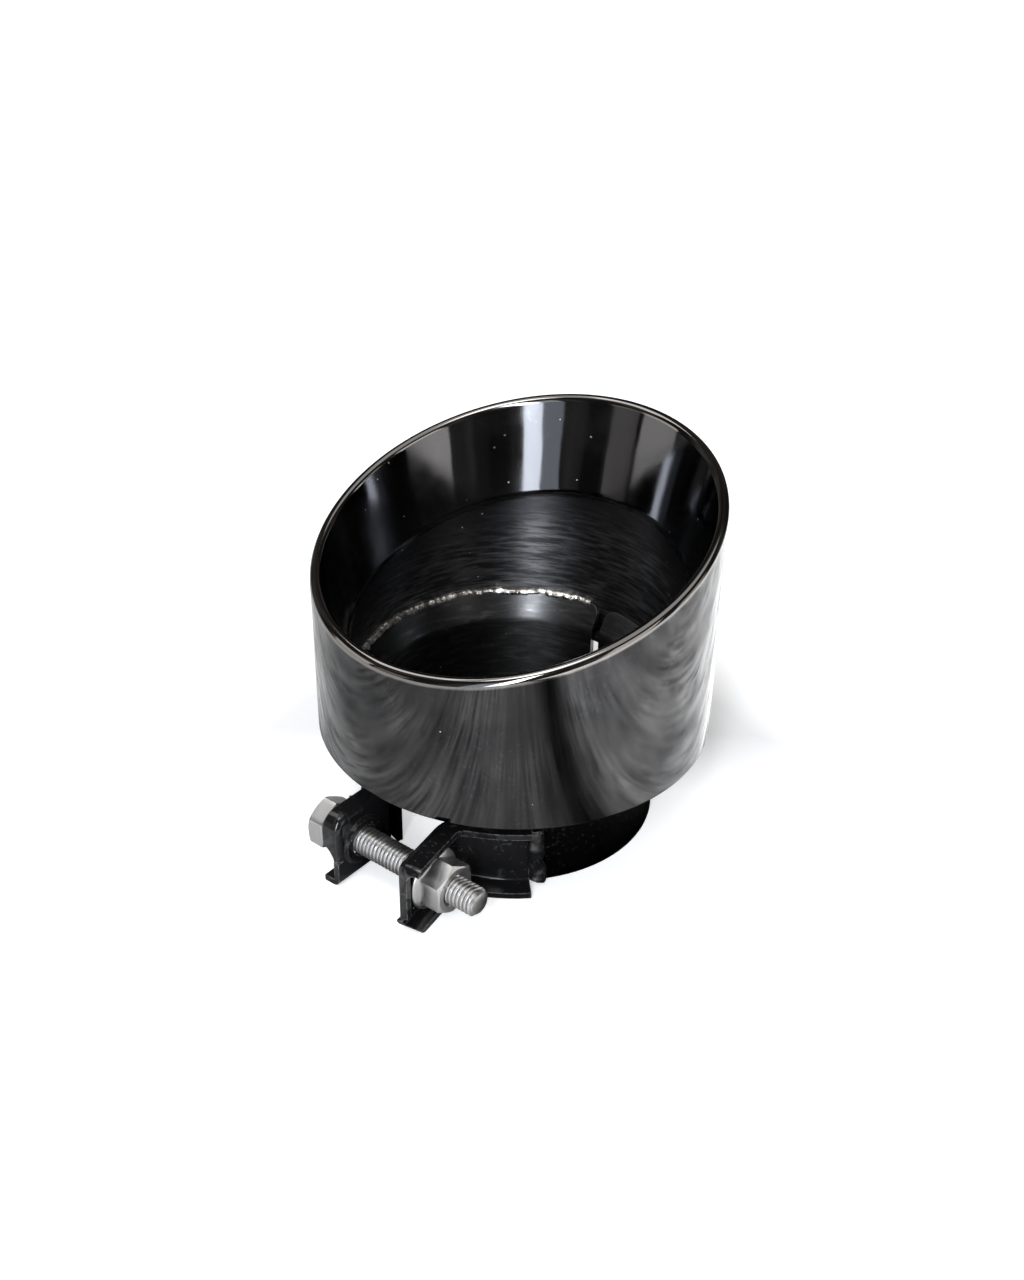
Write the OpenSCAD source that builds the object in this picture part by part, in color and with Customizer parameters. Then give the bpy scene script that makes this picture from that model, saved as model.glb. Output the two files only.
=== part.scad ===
// Clamp-on exhaust tip: slash-cut double-wall outlet on a split inlet collar, squeezed by two pressed lugs
// and one bolt. The origin is the centre of the inlet, on the tip's axis, with the outlet facing up.

/* [Outlet] */
// Outside diameter of the polished shell
shell_od = 110; // [100:0.5:130]
// Sheet thickness of the shell
shell_wall = 1.5; // [1:0.1:2]
// Height of the rim above the shell's lower edge, measured on the axis
shell_height = 58.4; // [54:0.1:80]
// Slash cut, measured from square
slash_angle = 17.3; // [0:0.1:20]
// Turn of the cut's low side away from the clamp bolt
slash_turn = 1.7; // [0:0.1:20]
// How much wider the rolled rim is than its two sheets
rim_extra = 0.3; // [0.2:0.1:1]
// Depth of the funnel below the rim
funnel_depth = 24.7; // [18:0.1:26]

/* [Inner sleeve] */
// Inside diameter where the funnel turns into the sleeve
throat_d = 91; // [89:0.5:96]
// Inside diameter at the sleeve's lower end
sleeve_foot_d = 88.4; // [86:0.1:91]
// Sheet thickness of the sleeve and its funnel
sleeve_wall = 1.2; // [0.8:0.1:1.4]
// Bend between funnel and sleeve, on the visible side
throat_bend = 5; // [3:0.5:8]
// Height of the sleeve's lower end above the shell's lower edge
sleeve_lift = 5; // [4:0.5:8]

/* [Inlet collar] */
// Bore of the collar, which slides over a 3 inch tailpipe
pipe_bore = 77.2; // [74:0.1:79]
// Sheet thickness of the collar
collar_wall = 1.7; // [1:0.1:2.5]
// Length of collar below the shell
collar_reach = 29.2; // [28:0.1:60]
// Height of the collar's flared edge above the shell's lower edge
flare_top = 12; // [11:0.5:14]
// Height of the flare itself
flare_height = 7; // [5:0.5:9]
// Bend at the foot of the flare, on the outer side
flare_bend = 2; // [1:0.5:3]
// Width of the gap that the bolt closes
gap_width = 20; // [12:0.5:22]
// Distance from the top of the gap to the shell's lower edge
gap_below_shell = 3; // [1:0.5:5]
// Width of the open seam at the back
seam_width = 2.8; // [1:0.1:5]
// Rounding of the gap's upper corners and of the seam's upper ends
slot_corner = 3; // [1:0.5:4]

/* [End ring] */
// Sheet thickness of the ring that closes the shell
ring_wall = 1.2; // [0.8:0.1:1.4]
// Depth of the ring inside the shell's lower edge
ring_recess = 2.5; // [1:0.5:2.5]
// Height of the ring's outer hem
ring_hem = 6; // [4:0.5:12]
// Outer radius of the bend between ring and hem
ring_bend = 2.4; // [1.8:0.1:3]

/* [Clamp lugs] */
// Sheet thickness of the lugs
lug_sheet = 1.8; // [1.2:0.1:2.2]
// Inner radius of the bend between web and flange
lug_fold = 0.6; // [0.4:0.1:1.2]
// Width of a strap's flanges, sheet included
strap_flange = 7.4; // [6:0.1:8]
// Width of the head side ear's flanges, sheet included
head_flange = 5.4; // [4.5:0.1:7]
// Width of the nut side ear's flanges, sheet included
nut_flange = 7; // [5.5:0.1:7.5]
// Bend where the strap turns out into the ear, on the flanged side
ear_bend = 8; // [7.5:0.1:10]
// Angle round the collar from the bolt's middle to the strap's welded end
strap_end = 44.5; // [40:0.5:60]
// Distance of the head side ear from the clamp's middle, at the bolt
head_ear_x = 9; // [8:0.1:11]
// Distance of the nut side ear from the clamp's middle, at the bolt
nut_ear_x = 11.8; // [9:0.1:13]
// Splay of the nut side ear
nut_ear_splay = 9.5; // [0:0.5:10]
// Radius of the head side ear's upper outer corner
head_corner = 5; // [4:0.5:6]
// Radius of the nut side ear's upper outer corner
nut_corner = 2.6; // [2.5:0.1:4]
// Length of the head side ear past the bolt
head_ear_end = 9.6; // [9.4:0.1:11]
// Radius of the notch in the head side ear's end wall
head_notch_r = 4.4; // [3.6:0.1:5.2]
// Height of that notch's middle
head_notch_z = 7.8; // [7:0.1:9]
// Width of the nut side ear's end wall, sheet included
nut_wall = 3.4; // [3.2:0.1:4.4]
// Radius where that end wall runs into the upper flange
nut_wall_bend = 2.6; // [2:0.1:3]
// Radius of the notch in the nut side ear's end wall
nut_notch_r = 1.4; // [1.2:0.1:1.6]
// Height of that notch's middle
nut_notch_z = 3.2; // [3:0.1:5]
// Height of the boss pressed out round the bolt hole of the head side ear
boss_h = 0.8; // [0.4:0.1:1]

/* [Fasteners] */
// Length of the bolt under its head
bolt_length = 50; // [45:1:60]
// Diameter of the bolt's shank
bolt_d = 8; // [7:0.1:8]
// Room between the slack bolt's head and its ear
head_gap = 7.2; // [0.1:0.1:8]
// How far the nut's flange reaches over the bend behind it
nut_over_bend = 2.3; // [0:0.1:3]
// Hole for the bolt in the ears
bolt_hole_d = 9; // [8.8:0.1:10]
// Width across flats of head and nut
hex_flats = 13; // [12:0.1:13]
// Height of the bolt's head
head_height = 5.3; // [4.5:0.1:6]
// Height of the flange nut
nut_height = 8; // [7:0.1:9]
// Diameter of the nut's flange
nut_flange_d = 17.4; // [16.5:0.1:17.9]
// Thickness of the nut's flange at its edge
nut_flange_h = 1.1; // [0.8:0.1:1.5]

/* [Welds] */
// Radius of the lumps in a lug's weld
weld_lump = 2.2; // [2:0.1:2.6]
// Number of lumps in a lug's weld
weld_lumps = 6; // [6:1:8]
// Height of the weld on the collar's flared edge
edge_weld_h = 1.8; // [1.4:0.1:2.5]
// Angle round the collar over which its flare is welded
edge_weld_sweep = 300; // [120:5:340]

/* [Fits] */
// Clearance between faces that seat on each other
seat = 0.05; // [0.03:0.01:0.1]
// Clearance of the bolt in the nut, on the diameter
bolt_clearance = 0.2; // [0.1:0.05:0.5]
// Room between the nut's flange and a lug's flanges
nut_side_room = 0.3; // [0.2:0.1:1]
// Room between the nut's flange and an ear's end wall
nut_end_room = 1.6; // [0.6:0.1:2]

/* [Hidden] */
$fn = 96;
stations = 90;
past = 1;
// A wall with that many flats comes this much nearer the axis between its corners
flat_share = cos(180 / stations);
shell_r = shell_od / 2;
shell_ir = shell_r - shell_wall;
rim_r = (shell_wall + sleeve_wall + rim_extra) / 2;
rim_z = collar_reach + shell_height;
throat_r = throat_d / 2;
funnel_angle = atan((shell_r - 2 * rim_r - throat_r) / (funnel_depth - rim_r));
// The funnel's upper edge: where the rim's round runs out into the funnel
lip = [shell_r - rim_r * (1 + cos(funnel_angle)), rim_z - rim_r * (1 - sin(funnel_angle))];
bend_top_r = throat_r + throat_bend * (1 - cos(funnel_angle));
bend_z = lip[1] - (lip[0] - bend_top_r) / tan(funnel_angle) - throat_bend * sin(funnel_angle);
foot_r = sleeve_foot_d / 2;
pipe_r = pipe_bore / 2;
collar_r = pipe_r + collar_wall;
flare_r = foot_r * flat_share - seat;
flare_z = collar_reach + flare_top;
flare_angle = atan((flare_r - collar_r) / flare_height);
flare_foot_z = flare_z - flare_bend * sin(flare_angle)
    - (flare_r - collar_r - flare_bend * (1 - cos(flare_angle))) / tan(flare_angle);
flare_edge = [flare_r, flare_z];
flare_sheet = collar_wall * [cos(flare_angle), -sin(flare_angle)];
strap_r = collar_r + seat;
lug_edge = lug_sheet + lug_fold;
lug_height = nut_flange_d + 2 * (lug_sheet + nut_side_room);
nut_ear_end = nut_flange_d / 2 + nut_end_room + lug_sheet;
bolt_z = lug_height / 2;
// The boss runs out where the folds beside it start
boss_r = min(head_ear_end, bolt_z) - lug_edge;
strap_steps = 6;
bend_steps = 8;
turn_r = lug_sheet + ear_bend;
// The bolt's distance from the tip's axis follows from the bend in the nut side lug
nut_run = nut_flange_d / 2 - nut_over_bend;
nut_bend_x = nut_ear_x + turn_r * cos(nut_ear_splay) - nut_run * sin(nut_ear_splay);
bolt_reach = sqrt(pow(strap_r + turn_r, 2) - pow(nut_bend_x, 2)) + nut_run * cos(nut_ear_splay)
    + turn_r * sin(nut_ear_splay);
head_x = -head_ear_x - lug_sheet - head_gap;
// On a splayed ear the nut stops where its flange meets the fold at the ear's end
nut_x = nut_ear_x + lug_sheet / cos(nut_ear_splay) + nut_flange_d / 2 * tan(nut_ear_splay) + lug_fold;

// How far the slash cut rises above the axis at a place in plan
function slash_rise(x, y) = tan(slash_angle) * (x * sin(slash_turn) + y * cos(slash_turn));

function arc_points(centre, r, from, to, steps) =
    [for (i = [0:steps]) let (a = from + (to - from) * i / steps) centre + r * [cos(a), sin(a)]];

// Outline of a lug: a web with a flange of the given width turned out along its lower and upper edge. It runs
// up the web's inner face and back down its outer one, with as many points each way.
function channel(flange) =
    let (low = [lug_edge, lug_edge], high = [lug_edge, lug_height - lug_edge])
    concat([[flange, 0]], arc_points(low, lug_edge, 270, 180, 4),
           arc_points(high, lug_edge, 180, 90, 4), [[flange, lug_height]],
           [[flange, lug_height - lug_sheet]], arc_points(high, lug_fold, 90, 180, 4),
           arc_points(low, lug_fold, 180, 270, 4), [[flange, lug_sheet]]);

function level(points) = [for (p = points) [p[0], p[1], 0]];

function slashed(points) = [for (p = points) [p[0], p[1], 1]];

// A ring-shaped sheet wall. Each section point is [radius, height, share]: points with share 0 lie level,
// and points with share 1 follow the slash cut.
module slashed_wall(section) {
    count = len(section);
    points = [for (i = [0:stations - 1], s = section)
        let (x = s[0] * cos(360 * i / stations), y = s[0] * sin(360 * i / stations))
        [x, y, s[1] + s[2] * slash_rise(x, y)]];
    faces = [for (i = [0:stations - 1], j = [0:count - 1])
        let (here = i * count, next = (i + 1) % stations * count, up = (j + 1) % count)
        each [[here + j, here + up, next + up], [here + j, next + up, next + j]]];
    polyhedron(points, faces, convexity = 8);
}

// Rectangle with both of its left corners rounded
module rounded_block(w, h, r) {
    translate([r, 0])
        square([w - r, h]);
    translate([0, r])
        square([r, h - 2 * r]);
    for (z = [r, h - r])
        translate([r, z])
            circle(r);
}

// Outer tube, cut at a slant, with its edge rolled in over the funnel's edge
module outer_shell() {
    across = sleeve_wall * [cos(funnel_angle), -sin(funnel_angle)];
    color([0.07, 0.07, 0.08])
        slashed_wall(concat(
            level([[shell_r, collar_reach]]),
            slashed(arc_points([shell_r - rim_r, rim_z - rim_r], rim_r, 0, 180 - funnel_angle, 8)),
            slashed([lip + across, [shell_ir, lip[1] + across[1]]]),
            level([[shell_ir, collar_reach]])));
}

// Inner tube, flared at the outlet into the funnel that ends under the rolled rim
module inner_sleeve() {
    down = seat * [-sin(funnel_angle), -cos(funnel_angle)];
    across = sleeve_wall * [cos(funnel_angle), -sin(funnel_angle)];
    bend_centre = [throat_r + throat_bend, bend_z];
    foot_z = collar_reach + sleeve_lift;
    taper_z = flare_z + past;
    color([0.13, 0.13, 0.14])
        slashed_wall(concat(
            level([[foot_r + sleeve_wall, foot_z], [foot_r + sleeve_wall, taper_z]]),
            slashed(arc_points(bend_centre, throat_bend - sleeve_wall, 180, 180 - funnel_angle, 4)),
            slashed([lip + down + across, lip + down]),
            slashed(arc_points(bend_centre, throat_bend, 180 - funnel_angle, 180, 4)),
            level([[foot_r, taper_z], [foot_r, foot_z]])));
}

// Pressed ring that closes the space between shell and collar, with a hem against the shell
module end_ring() {
    hem_r = shell_ir * flat_share - seat;
    color([0.05, 0.05, 0.05])
        translate([0, 0, collar_reach + ring_recess])
            rotate_extrude()
                difference() {
                    ring_outline(hem_r, ring_hem, ring_bend);
                    translate([0, ring_wall])
                        ring_outline(hem_r - ring_wall, ring_hem, ring_bend - ring_wall);
                    square([2 * strap_r, 2 * past + 2 * ring_wall], center = true);
                }
}

// Half outline of a shallow pan
module ring_outline(w, h, r) {
    square([w - r, h]);
    translate([0, r])
        square([w, h - r]);
    translate([w - r, r])
        circle(r);
}

// Rolled collar that grips the tailpipe: flared where it is welded into the sleeve, split front and back
module inlet_collar() {
    bend_centre = [collar_r + flare_bend, flare_foot_z];
    color([0.06, 0.06, 0.06])
        difference() {
            rotate_extrude()
                polygon(concat(
                    [[pipe_r, 0], [collar_r, 0]],
                    arc_points(bend_centre, flare_bend, 180, 180 - flare_angle, 4),
                    [flare_edge, flare_edge - flare_sheet],
                    arc_points(bend_centre, flare_bend + collar_wall, 180 - flare_angle, 180, 4)));
            rotate([90, 0, 0])
                linear_extrude(collar_r + past)
                    gap_outline(collar_reach - gap_below_shell);
            rotate([90, 0, 180])
                linear_extrude(flare_r + past)
                    seam_outline(flare_z + collar_wall * sin(flare_angle));
        }
}

// The gap under the bolt as seen from the front, open at the collar's lower edge
module gap_outline(top) {
    translate([-gap_width / 2, -past])
        square([gap_width, top - slot_corner + past]);
    translate([slot_corner - gap_width / 2, 0])
        square([gap_width - 2 * slot_corner, top]);
    for (side = [-1, 1])
        translate([side * (gap_width / 2 - slot_corner), top - slot_corner])
            circle(slot_corner);
}

// The open seam at the back, whose edges round off where they reach the flared edge
module seam_outline(top) {
    translate([-seam_width / 2, -past])
        square([seam_width, top + 2 * past]);
    for (side = [-1, 1])
        difference() {
            translate([side * (seam_width + slot_corner) / 2, top + (past - slot_corner) / 2])
                square([slot_corner, slot_corner + past], center = true);
            translate([side * (seam_width / 2 + slot_corner), top - slot_corner])
                circle(slot_corner);
        }
}

// Weld in the groove between the collar's flared edge and the sleeve
module flare_weld() {
    seam_turn = asin((seam_width / 2 + slot_corner) / collar_r);
    color([0.35, 0.33, 0.30])
        rotate([0, 0, 90 + seam_turn])
            rotate_extrude(angle = min(edge_weld_sweep, 360 - 2 * seam_turn))
                polygon([flare_edge + [0, 2 * seat], flare_edge + [0, edge_weld_h],
                         flare_edge - flare_sheet + 2 * seat * [sin(flare_angle), cos(flare_angle)]]);
}

// A lug's sheet drawn along a path in plan. Each stop is the place of the web's inner face there, the way in
// which the flanges stand out, and their width.
module channel_sweep(path) {
    outlines = [for (stop = path) channel(stop[2])];
    count = len(outlines[0]);
    last = (len(path) - 1) * count;
    points = [for (i = [0:len(path) - 1], p = outlines[i]) concat(path[i][0] + p[0] * path[i][1], p[1])];
    sides = [for (i = [0:len(path) - 2], j = [0:count - 1])
        let (here = i * count, next = here + count, up = (j + 1) % count)
        each [[here + j, here + up, next + up], [here + j, next + up, next + j]]];
    ends = [for (j = [0:count / 2 - 2])
        let (back = count - 1 - j)
        each [[j, back, j + 1], [j + 1, back, back - 1],
              [last + j, last + j + 1, last + back], [last + j + 1, last + back - 1, last + back]]];
    polyhedron(points, concat(sides, ends), convexity = 8);
}

// Section through an ear's upper flange where it turns down: distance from the corner's middle, then depth
module corner_section(flange, corner) {
    intersection() {
        mirror([1, -1])
            translate([0, corner - lug_height])
                polygon(channel(flange));
        square([corner, flange]);
    }
}

// Outer end of an ear. Its upper flange turns down as an end wall of the given width, which stops at a notch.
module ear_tip(corner, flange, wall, notch_r, notch_z) {
    wall_z = lug_height - corner;
    rotate([90, 0, 0])
        linear_extrude(corner)
            intersection() {
                polygon(channel(flange));
                square([flange, notch_z]);
            }
    difference() {
        union() {
            translate([0, 0, wall_z])
                rotate([0, -90, 180])
                    rotate_extrude(angle = 90)
                        corner_section(flange, corner);
            translate([0, 0, notch_z])
                linear_extrude(wall_z - notch_z)
                    rotate(-90)
                        corner_section(flange, corner);
        }
        translate([lug_sheet + notch_r, past, notch_z])
            rotate([90, 0, 0])
                cylinder(r = notch_r, h = corner + 2 * past);
        if (wall < flange)
            rotate([90, 0, 0])
                linear_extrude(corner + past)
                    translate([wall, notch_z - nut_wall_bend])
                        rounded_block(flange, lug_height - lug_sheet - notch_z + nut_wall_bend, nut_wall_bend);
    }
}

// One pressed lug on the +X side: a strap round the collar, a bend, and an ear that stands out to the bolt.
// It is drawn with its ear square to X, from the end of the bend on, and then turned by the splay.
module lug(ear_x, splay, ear_end, corner, flange, wall, notch_r, notch_z, boss) {
    away = [cos(splay), sin(splay)];
    out = [sin(splay), -cos(splay)];
    abreast = [ear_x, -bolt_reach] + turn_r * away;
    // From the bolt back along the ear to the bend, whose middle is turn_r outside the strap
    run = abreast * out - sqrt(pow(abreast * out, 2) - abreast * abreast + pow(strap_r + turn_r, 2));
    bend_mid = abreast - run * out;
    bend_at = atan2(bend_mid[0], -bend_mid[1]);
    corner_y = corner - run - ear_end;
    strap_mid = [turn_r, 0] + (strap_r + turn_r) * [sin(splay - bend_at), cos(splay - bend_at)];
    strap = [for (i = [0:strap_steps])
        let (a = strap_end - splay + (bend_at - strap_end) * i / strap_steps, way = [sin(a), -cos(a)])
        [strap_mid + strap_r * way, way, strap_flange]];
    bend = [for (i = [1:bend_steps])
        let (part = i / bend_steps, a = (90 + splay - bend_at) * (1 - part), way = [cos(a), -sin(a)])
        [[turn_r, 0] - turn_r * way, way, strap_flange + (flange - strap_flange) * part]];
    translate(bend_mid - turn_r * away)
        rotate([0, 0, splay])
            difference() {
                union() {
                    channel_sweep(concat(strap, bend, [[[0, corner_y], [1, 0], flange]]));
                    translate([0, corner_y, 0])
                        ear_tip(corner, flange, wall, notch_r, notch_z);
                    if (boss > 0)
                        translate([-boss, -run, bolt_z])
                            rotate([0, 90, 0])
                                boss_cone(boss, lug_sheet / 2);
                }
                if (boss > 0)
                    translate([lug_sheet - boss, -run, bolt_z])
                        rotate([0, 90, 0])
                            boss_cone(boss, past);
                translate([-past, -run, bolt_z])
                    rotate([0, 90, 0])
                        cylinder(d = bolt_hole_d, h = lug_sheet + 2 * past);
            }
}

// Blunt cone of the boss, with room to run on past the sheet's face
module boss_cone(h, run_on) {
    cylinder(r1 = boss_r - h, r2 = boss_r, h = h);
    translate([0, 0, h])
        cylinder(r = boss_r, h = run_on);
}

module lug_nut_side() {
    color([0.05, 0.05, 0.05])
        lug(nut_ear_x, nut_ear_splay, nut_ear_end, nut_corner, nut_flange, nut_wall, nut_notch_r, nut_notch_z,
            0);
}

module lug_head_side() {
    color([0.05, 0.05, 0.05])
        mirror([1, 0, 0])
            lug(head_ear_x, 0, head_ear_end, head_corner, head_flange, head_flange, head_notch_r, head_notch_z,
                boss_h);
}

// Lumpy weld down the strap's end, on the +X side
module lug_weld() {
    pitch = (lug_height - 2 * weld_lump) / (weld_lumps - 1);
    color([0.12, 0.12, 0.12])
        rotate([0, 0, strap_end - 90])
            difference() {
                for (i = [0:weld_lumps - 1])
                    translate([strap_r + weld_lump / 3, weld_lump * (i % 2 + 1) / 3, weld_lump + i * pitch])
                        sphere(weld_lump);
                cylinder(r = strap_r, h = lug_height);
                translate([0, seat - lug_height, -past])
                    cube([2 * collar_r, lug_height, lug_height + 2 * past]);
            }
}

module lug_weld_nut_side() {
    lug_weld();
}

module lug_weld_head_side() {
    mirror([1, 0, 0])
        lug_weld();
}

// Hexagonal block with its upper corners turned off at 30 degrees
module hex_block(h) {
    corner_r = hex_flats / 2 / cos(30);
    face_r = 0.95 * hex_flats / 2;
    intersection() {
        cylinder(r = corner_r, h = h, $fn = 6);
        rotate_extrude()
            polygon([[0, 0], [corner_r, 0], [corner_r, h - (corner_r - face_r) * tan(30)], [face_r, h], [0, h]]);
    }
}

// Hexagon bolt, head at the left. It lies slack in the ears' holes.
module clamp_bolt() {
    tip = bolt_d / 10;
    color([0.72, 0.72, 0.70])
        translate([head_x, -bolt_reach, bolt_z])
            rotate([0, 90, 0]) {
                mirror([0, 0, 1])
                    hex_block(head_height);
                rotate_extrude()
                    polygon([[0, 0], [bolt_d / 2, 0], [bolt_d / 2, bolt_length - tip],
                             [bolt_d / 2 - tip, bolt_length], [0, bolt_length]]);
            }
}

// Hexagon nut with a flange that spreads its load on the ear
module flange_nut() {
    flange_r = nut_flange_d / 2;
    cone_h = nut_flange_h + (flange_r - hex_flats / 2) * tan(25);
    color([0.75, 0.75, 0.73])
        translate([nut_x, -bolt_reach, bolt_z])
            rotate([0, 90, 0])
                difference() {
                    union() {
                        hex_block(nut_height);
                        rotate_extrude()
                            polygon([[0, 0], [flange_r - nut_flange_h / 4, 0], [flange_r, nut_flange_h / 4],
                                     [flange_r, nut_flange_h], [hex_flats / 2, cone_h], [0, cone_h]]);
                    }
                    translate([0, 0, -past])
                        cylinder(d = bolt_d + bolt_clearance, h = nut_height + 2 * past);
                }
}

outer_shell();
inner_sleeve();
end_ring();
inlet_collar();
flare_weld();
lug_head_side();
lug_nut_side();
lug_weld_head_side();
lug_weld_nut_side();
clamp_bolt();
flange_nut();
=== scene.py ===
"""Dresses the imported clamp-on exhaust tip: black-chromed shell and sleeve, split collar, painted clamp lugs,
welds and bare steel fasteners, on a pale studio floor. Lengths are in metres."""

from functools import wraps
from math import asin, atan, atan2, cos, degrees, hypot, pi, radians, sin, sqrt, tan

import bmesh
import bpy
import numpy as np
from bpy.props import FloatProperty, FloatVectorProperty, IntProperty, PointerProperty
from mathutils import Euler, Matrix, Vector


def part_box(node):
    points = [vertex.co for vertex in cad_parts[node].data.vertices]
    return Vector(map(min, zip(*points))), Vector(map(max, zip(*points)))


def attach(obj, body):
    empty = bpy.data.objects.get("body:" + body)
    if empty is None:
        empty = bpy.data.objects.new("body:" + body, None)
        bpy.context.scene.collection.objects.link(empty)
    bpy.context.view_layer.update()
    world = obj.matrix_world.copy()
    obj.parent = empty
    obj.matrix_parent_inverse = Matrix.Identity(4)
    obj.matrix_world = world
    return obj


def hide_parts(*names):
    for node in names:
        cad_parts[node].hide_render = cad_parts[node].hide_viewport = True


bl_info = {
    "name": "Exhaust tip",
    "version": (1, 0, 0),
    "blender": (4, 5, 0),
    "location": "3D View > Sidebar > Exhaust tip",
    "description": "Builds the looks of a clamp-on exhaust tip over its packed solids",
    "category": "Object",
}

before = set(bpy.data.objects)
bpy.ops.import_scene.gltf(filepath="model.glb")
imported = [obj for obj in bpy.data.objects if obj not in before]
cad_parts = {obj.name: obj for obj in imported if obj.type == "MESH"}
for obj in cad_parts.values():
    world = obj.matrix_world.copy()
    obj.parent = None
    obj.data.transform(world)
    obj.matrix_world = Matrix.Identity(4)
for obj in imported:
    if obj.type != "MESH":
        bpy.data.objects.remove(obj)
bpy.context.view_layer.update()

BODY = "root"
TINY = 1e-6
HAIR = 20 * TINY


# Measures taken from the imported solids

def places(node):
    """Every vertex of a solid, one row each."""
    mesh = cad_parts[node].data
    flat = np.empty(3 * len(mesh.vertices), np.float32)
    mesh.vertices.foreach_get("co", flat)
    return flat.reshape(-1, 3).astype(float)


def radius_range(node):
    """Smallest and largest distance of a solid's vertices from the tip's axis."""
    points = places(node)
    radii = np.hypot(points[:, 0], points[:, 1])
    return float(radii.min()), float(radii.max())


def slash_plane(shell_r):
    """Rise of the slash cut along X and along Y, and the height on the axis at which the outer wall turns
    into the rim."""
    points = places("outer_shell")
    foot = points[:, 2].min()
    outermost = np.hypot(points[:, 0], points[:, 1]) > shell_r - 1e-5
    edge = points[outermost & (points[:, 2] > foot + 0.005)]
    found = np.linalg.lstsq(np.column_stack([edge[:, :2], np.ones(len(edge))]), edge[:, 2], rcond=None)[0]
    return tuple(float(v) for v in found)


SHELL_R = radius_range("outer_shell")[1]
SHELL_FOOT_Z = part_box("outer_shell")[0].z
RISE_X, RISE_Y, RIM_FOOT_Z = slash_plane(SHELL_R)
SLEEVE_FOOT_R = radius_range("inner_sleeve")[0]
SLEEVE_FOOT_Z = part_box("inner_sleeve")[0].z
PIPE_R, FLARE_R = radius_range("inlet_collar")
FLARE_TOP_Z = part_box("inlet_collar")[1].z
RING_LOW, RING_HIGH = (corner.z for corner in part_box("end_ring"))
RING_INNER_R, RING_OUTER_R = radius_range("end_ring")
BOLT_LOW, BOLT_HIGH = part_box("clamp_bolt")
BOLT_Y = (BOLT_LOW.y + BOLT_HIGH.y) / 2
BOLT_Z = (BOLT_LOW.z + BOLT_HIGH.z) / 2
NUT_LOW, NUT_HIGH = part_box("flange_nut")
NUT_FLANGE_R = (NUT_HIGH.z - NUT_LOW.z) / 2
EAR_SPLAY = radians(9.5)
EAR_CUTS = 5
SOFT_EDGE = 0.0003
HEX_FACE = 0.95
HEX_CHAMFER = radians(30)
BORE_CHAMFER = (0.0007, 0.0006)
BOLT_CHAMFER = 0.0010
THREAD_SIDES = 56
THREAD_CUTS = 10
THREAD_ROOM = 0.00005
# The nut's flange: its thickness, the slope of its back, and its rounded rim, as steps inwards and upwards
FLANGE_EDGE = 0.0011
FLANGE_SLOPE = radians(25)
FLANGE_RIM = ((0.0004, 0.0), (0.0001, 0.0001), (0.0, 0.0003), (0.0, 0.0008), (0.0001, 0.0010),
              (0.0004, 0.0012))
# Where one finish turns into the next: thread radii over which painted shade darkens the roots, depths below
# the rim, and radii of the collar
THREAD_ROOT_SHADE = (0.00385, 0.00335)
BRUSHED_DEPTH = (0.0235, 0.0255)
RUBBED_DEPTH = (0.026, 0.040)
PAINTED_R = (PIPE_R + 0.0008, PIPE_R + 0.0014)


def length(name, description, default):
    return FloatProperty(name=name, description=description, default=default, min=0.0, subtype="DISTANCE",
                         unit="LENGTH", precision=5)


def angle(name, description, default):
    return FloatProperty(name=name, description=description, default=radians(default), subtype="ANGLE",
                         unit="ROTATION")


def tint(name, description, default):
    return FloatVectorProperty(name=name, description=description, default=default, size=3, subtype="COLOR",
                               min=0.0, max=1.0)


class TipSizes(bpy.types.PropertyGroup):
    """Sizes of the tip's pieces that the solids' boxes don't give"""

    stations: IntProperty(name="Stations", description="Points round a turned wall", default=288, min=24)
    shell_wall: length("Shell sheet", "Sheet thickness of the shell", 0.0015)
    sleeve_wall: length("Sleeve sheet", "Sheet thickness of sleeve, funnel and end ring", 0.0012)
    rim_radius: length("Rim radius", "Radius of the rolled rim", 0.0015)
    funnel_depth: length("Funnel depth", "Depth of the funnel below the rim", 0.0247)
    throat_radius: length("Throat radius", "Inner radius where the funnel turns into the sleeve", 0.0455)
    throat_bend: length("Throat bend", "Radius of that turn", 0.005)
    sheet_edge: length("Sheet edge", "Rounding of a cut sheet edge", 0.00025)
    ring_bend: length("Ring bend", "Outer radius of the end ring's bend", 0.0024)
    collar_wall: length("Collar sheet", "Sheet thickness of the collar", 0.0017)
    flare_height: length("Flare height", "Height of the collar's flare", 0.007)
    flare_bend: length("Flare bend", "Bend at the foot of the flare", 0.002)
    gap_width: length("Gap width", "Width of the gap that the bolt closes", 0.020)
    gap_top: length("Gap top", "Height of the gap's upper end", 0.0262)
    seam_width: length("Seam width", "Width of the open seam at the back", 0.0028)
    slot_corner: length("Slot corner", "Rounding of the gap's and the seam's corners", 0.003)
    lug_edge: length("Lug edge", "Rounding of the lugs' cut edges", 0.00035)
    ear_round: length("Ear end", "Rounding of the nut side ear's lower outer end", 0.0038)
    weld_pitch: length("Weld pitch", "Spacing of the ripples in the lugs' welds", 0.0042)
    weld_bead: length("Weld bead", "Radius of the lugs' weld beads", 0.0025)
    flare_pitch: length("Flare weld pitch", "Spacing of the ripples in the weld on the flare", 0.0023)
    flare_bead: length("Flare weld bead", "Radius of the weld on the flare", 0.0013)
    bolt_radius: length("Bolt radius", "Radius of the bolt's thread, over its crests", 0.00397)
    thread_pitch: length("Thread pitch", "Pitch of the bolt's thread", 0.00125)
    thread_depth: length("Thread depth", "Depth of the bolt's thread", 0.00072)
    bolt_length: length("Bolt length", "Length of the bolt under its head", 0.050)
    hex_flats: length("Hexagon", "Width across flats of head and nut", 0.013)
    hex_corner: length("Hexagon corner", "Rounding of the hexagon's corners", 0.0004)


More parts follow.
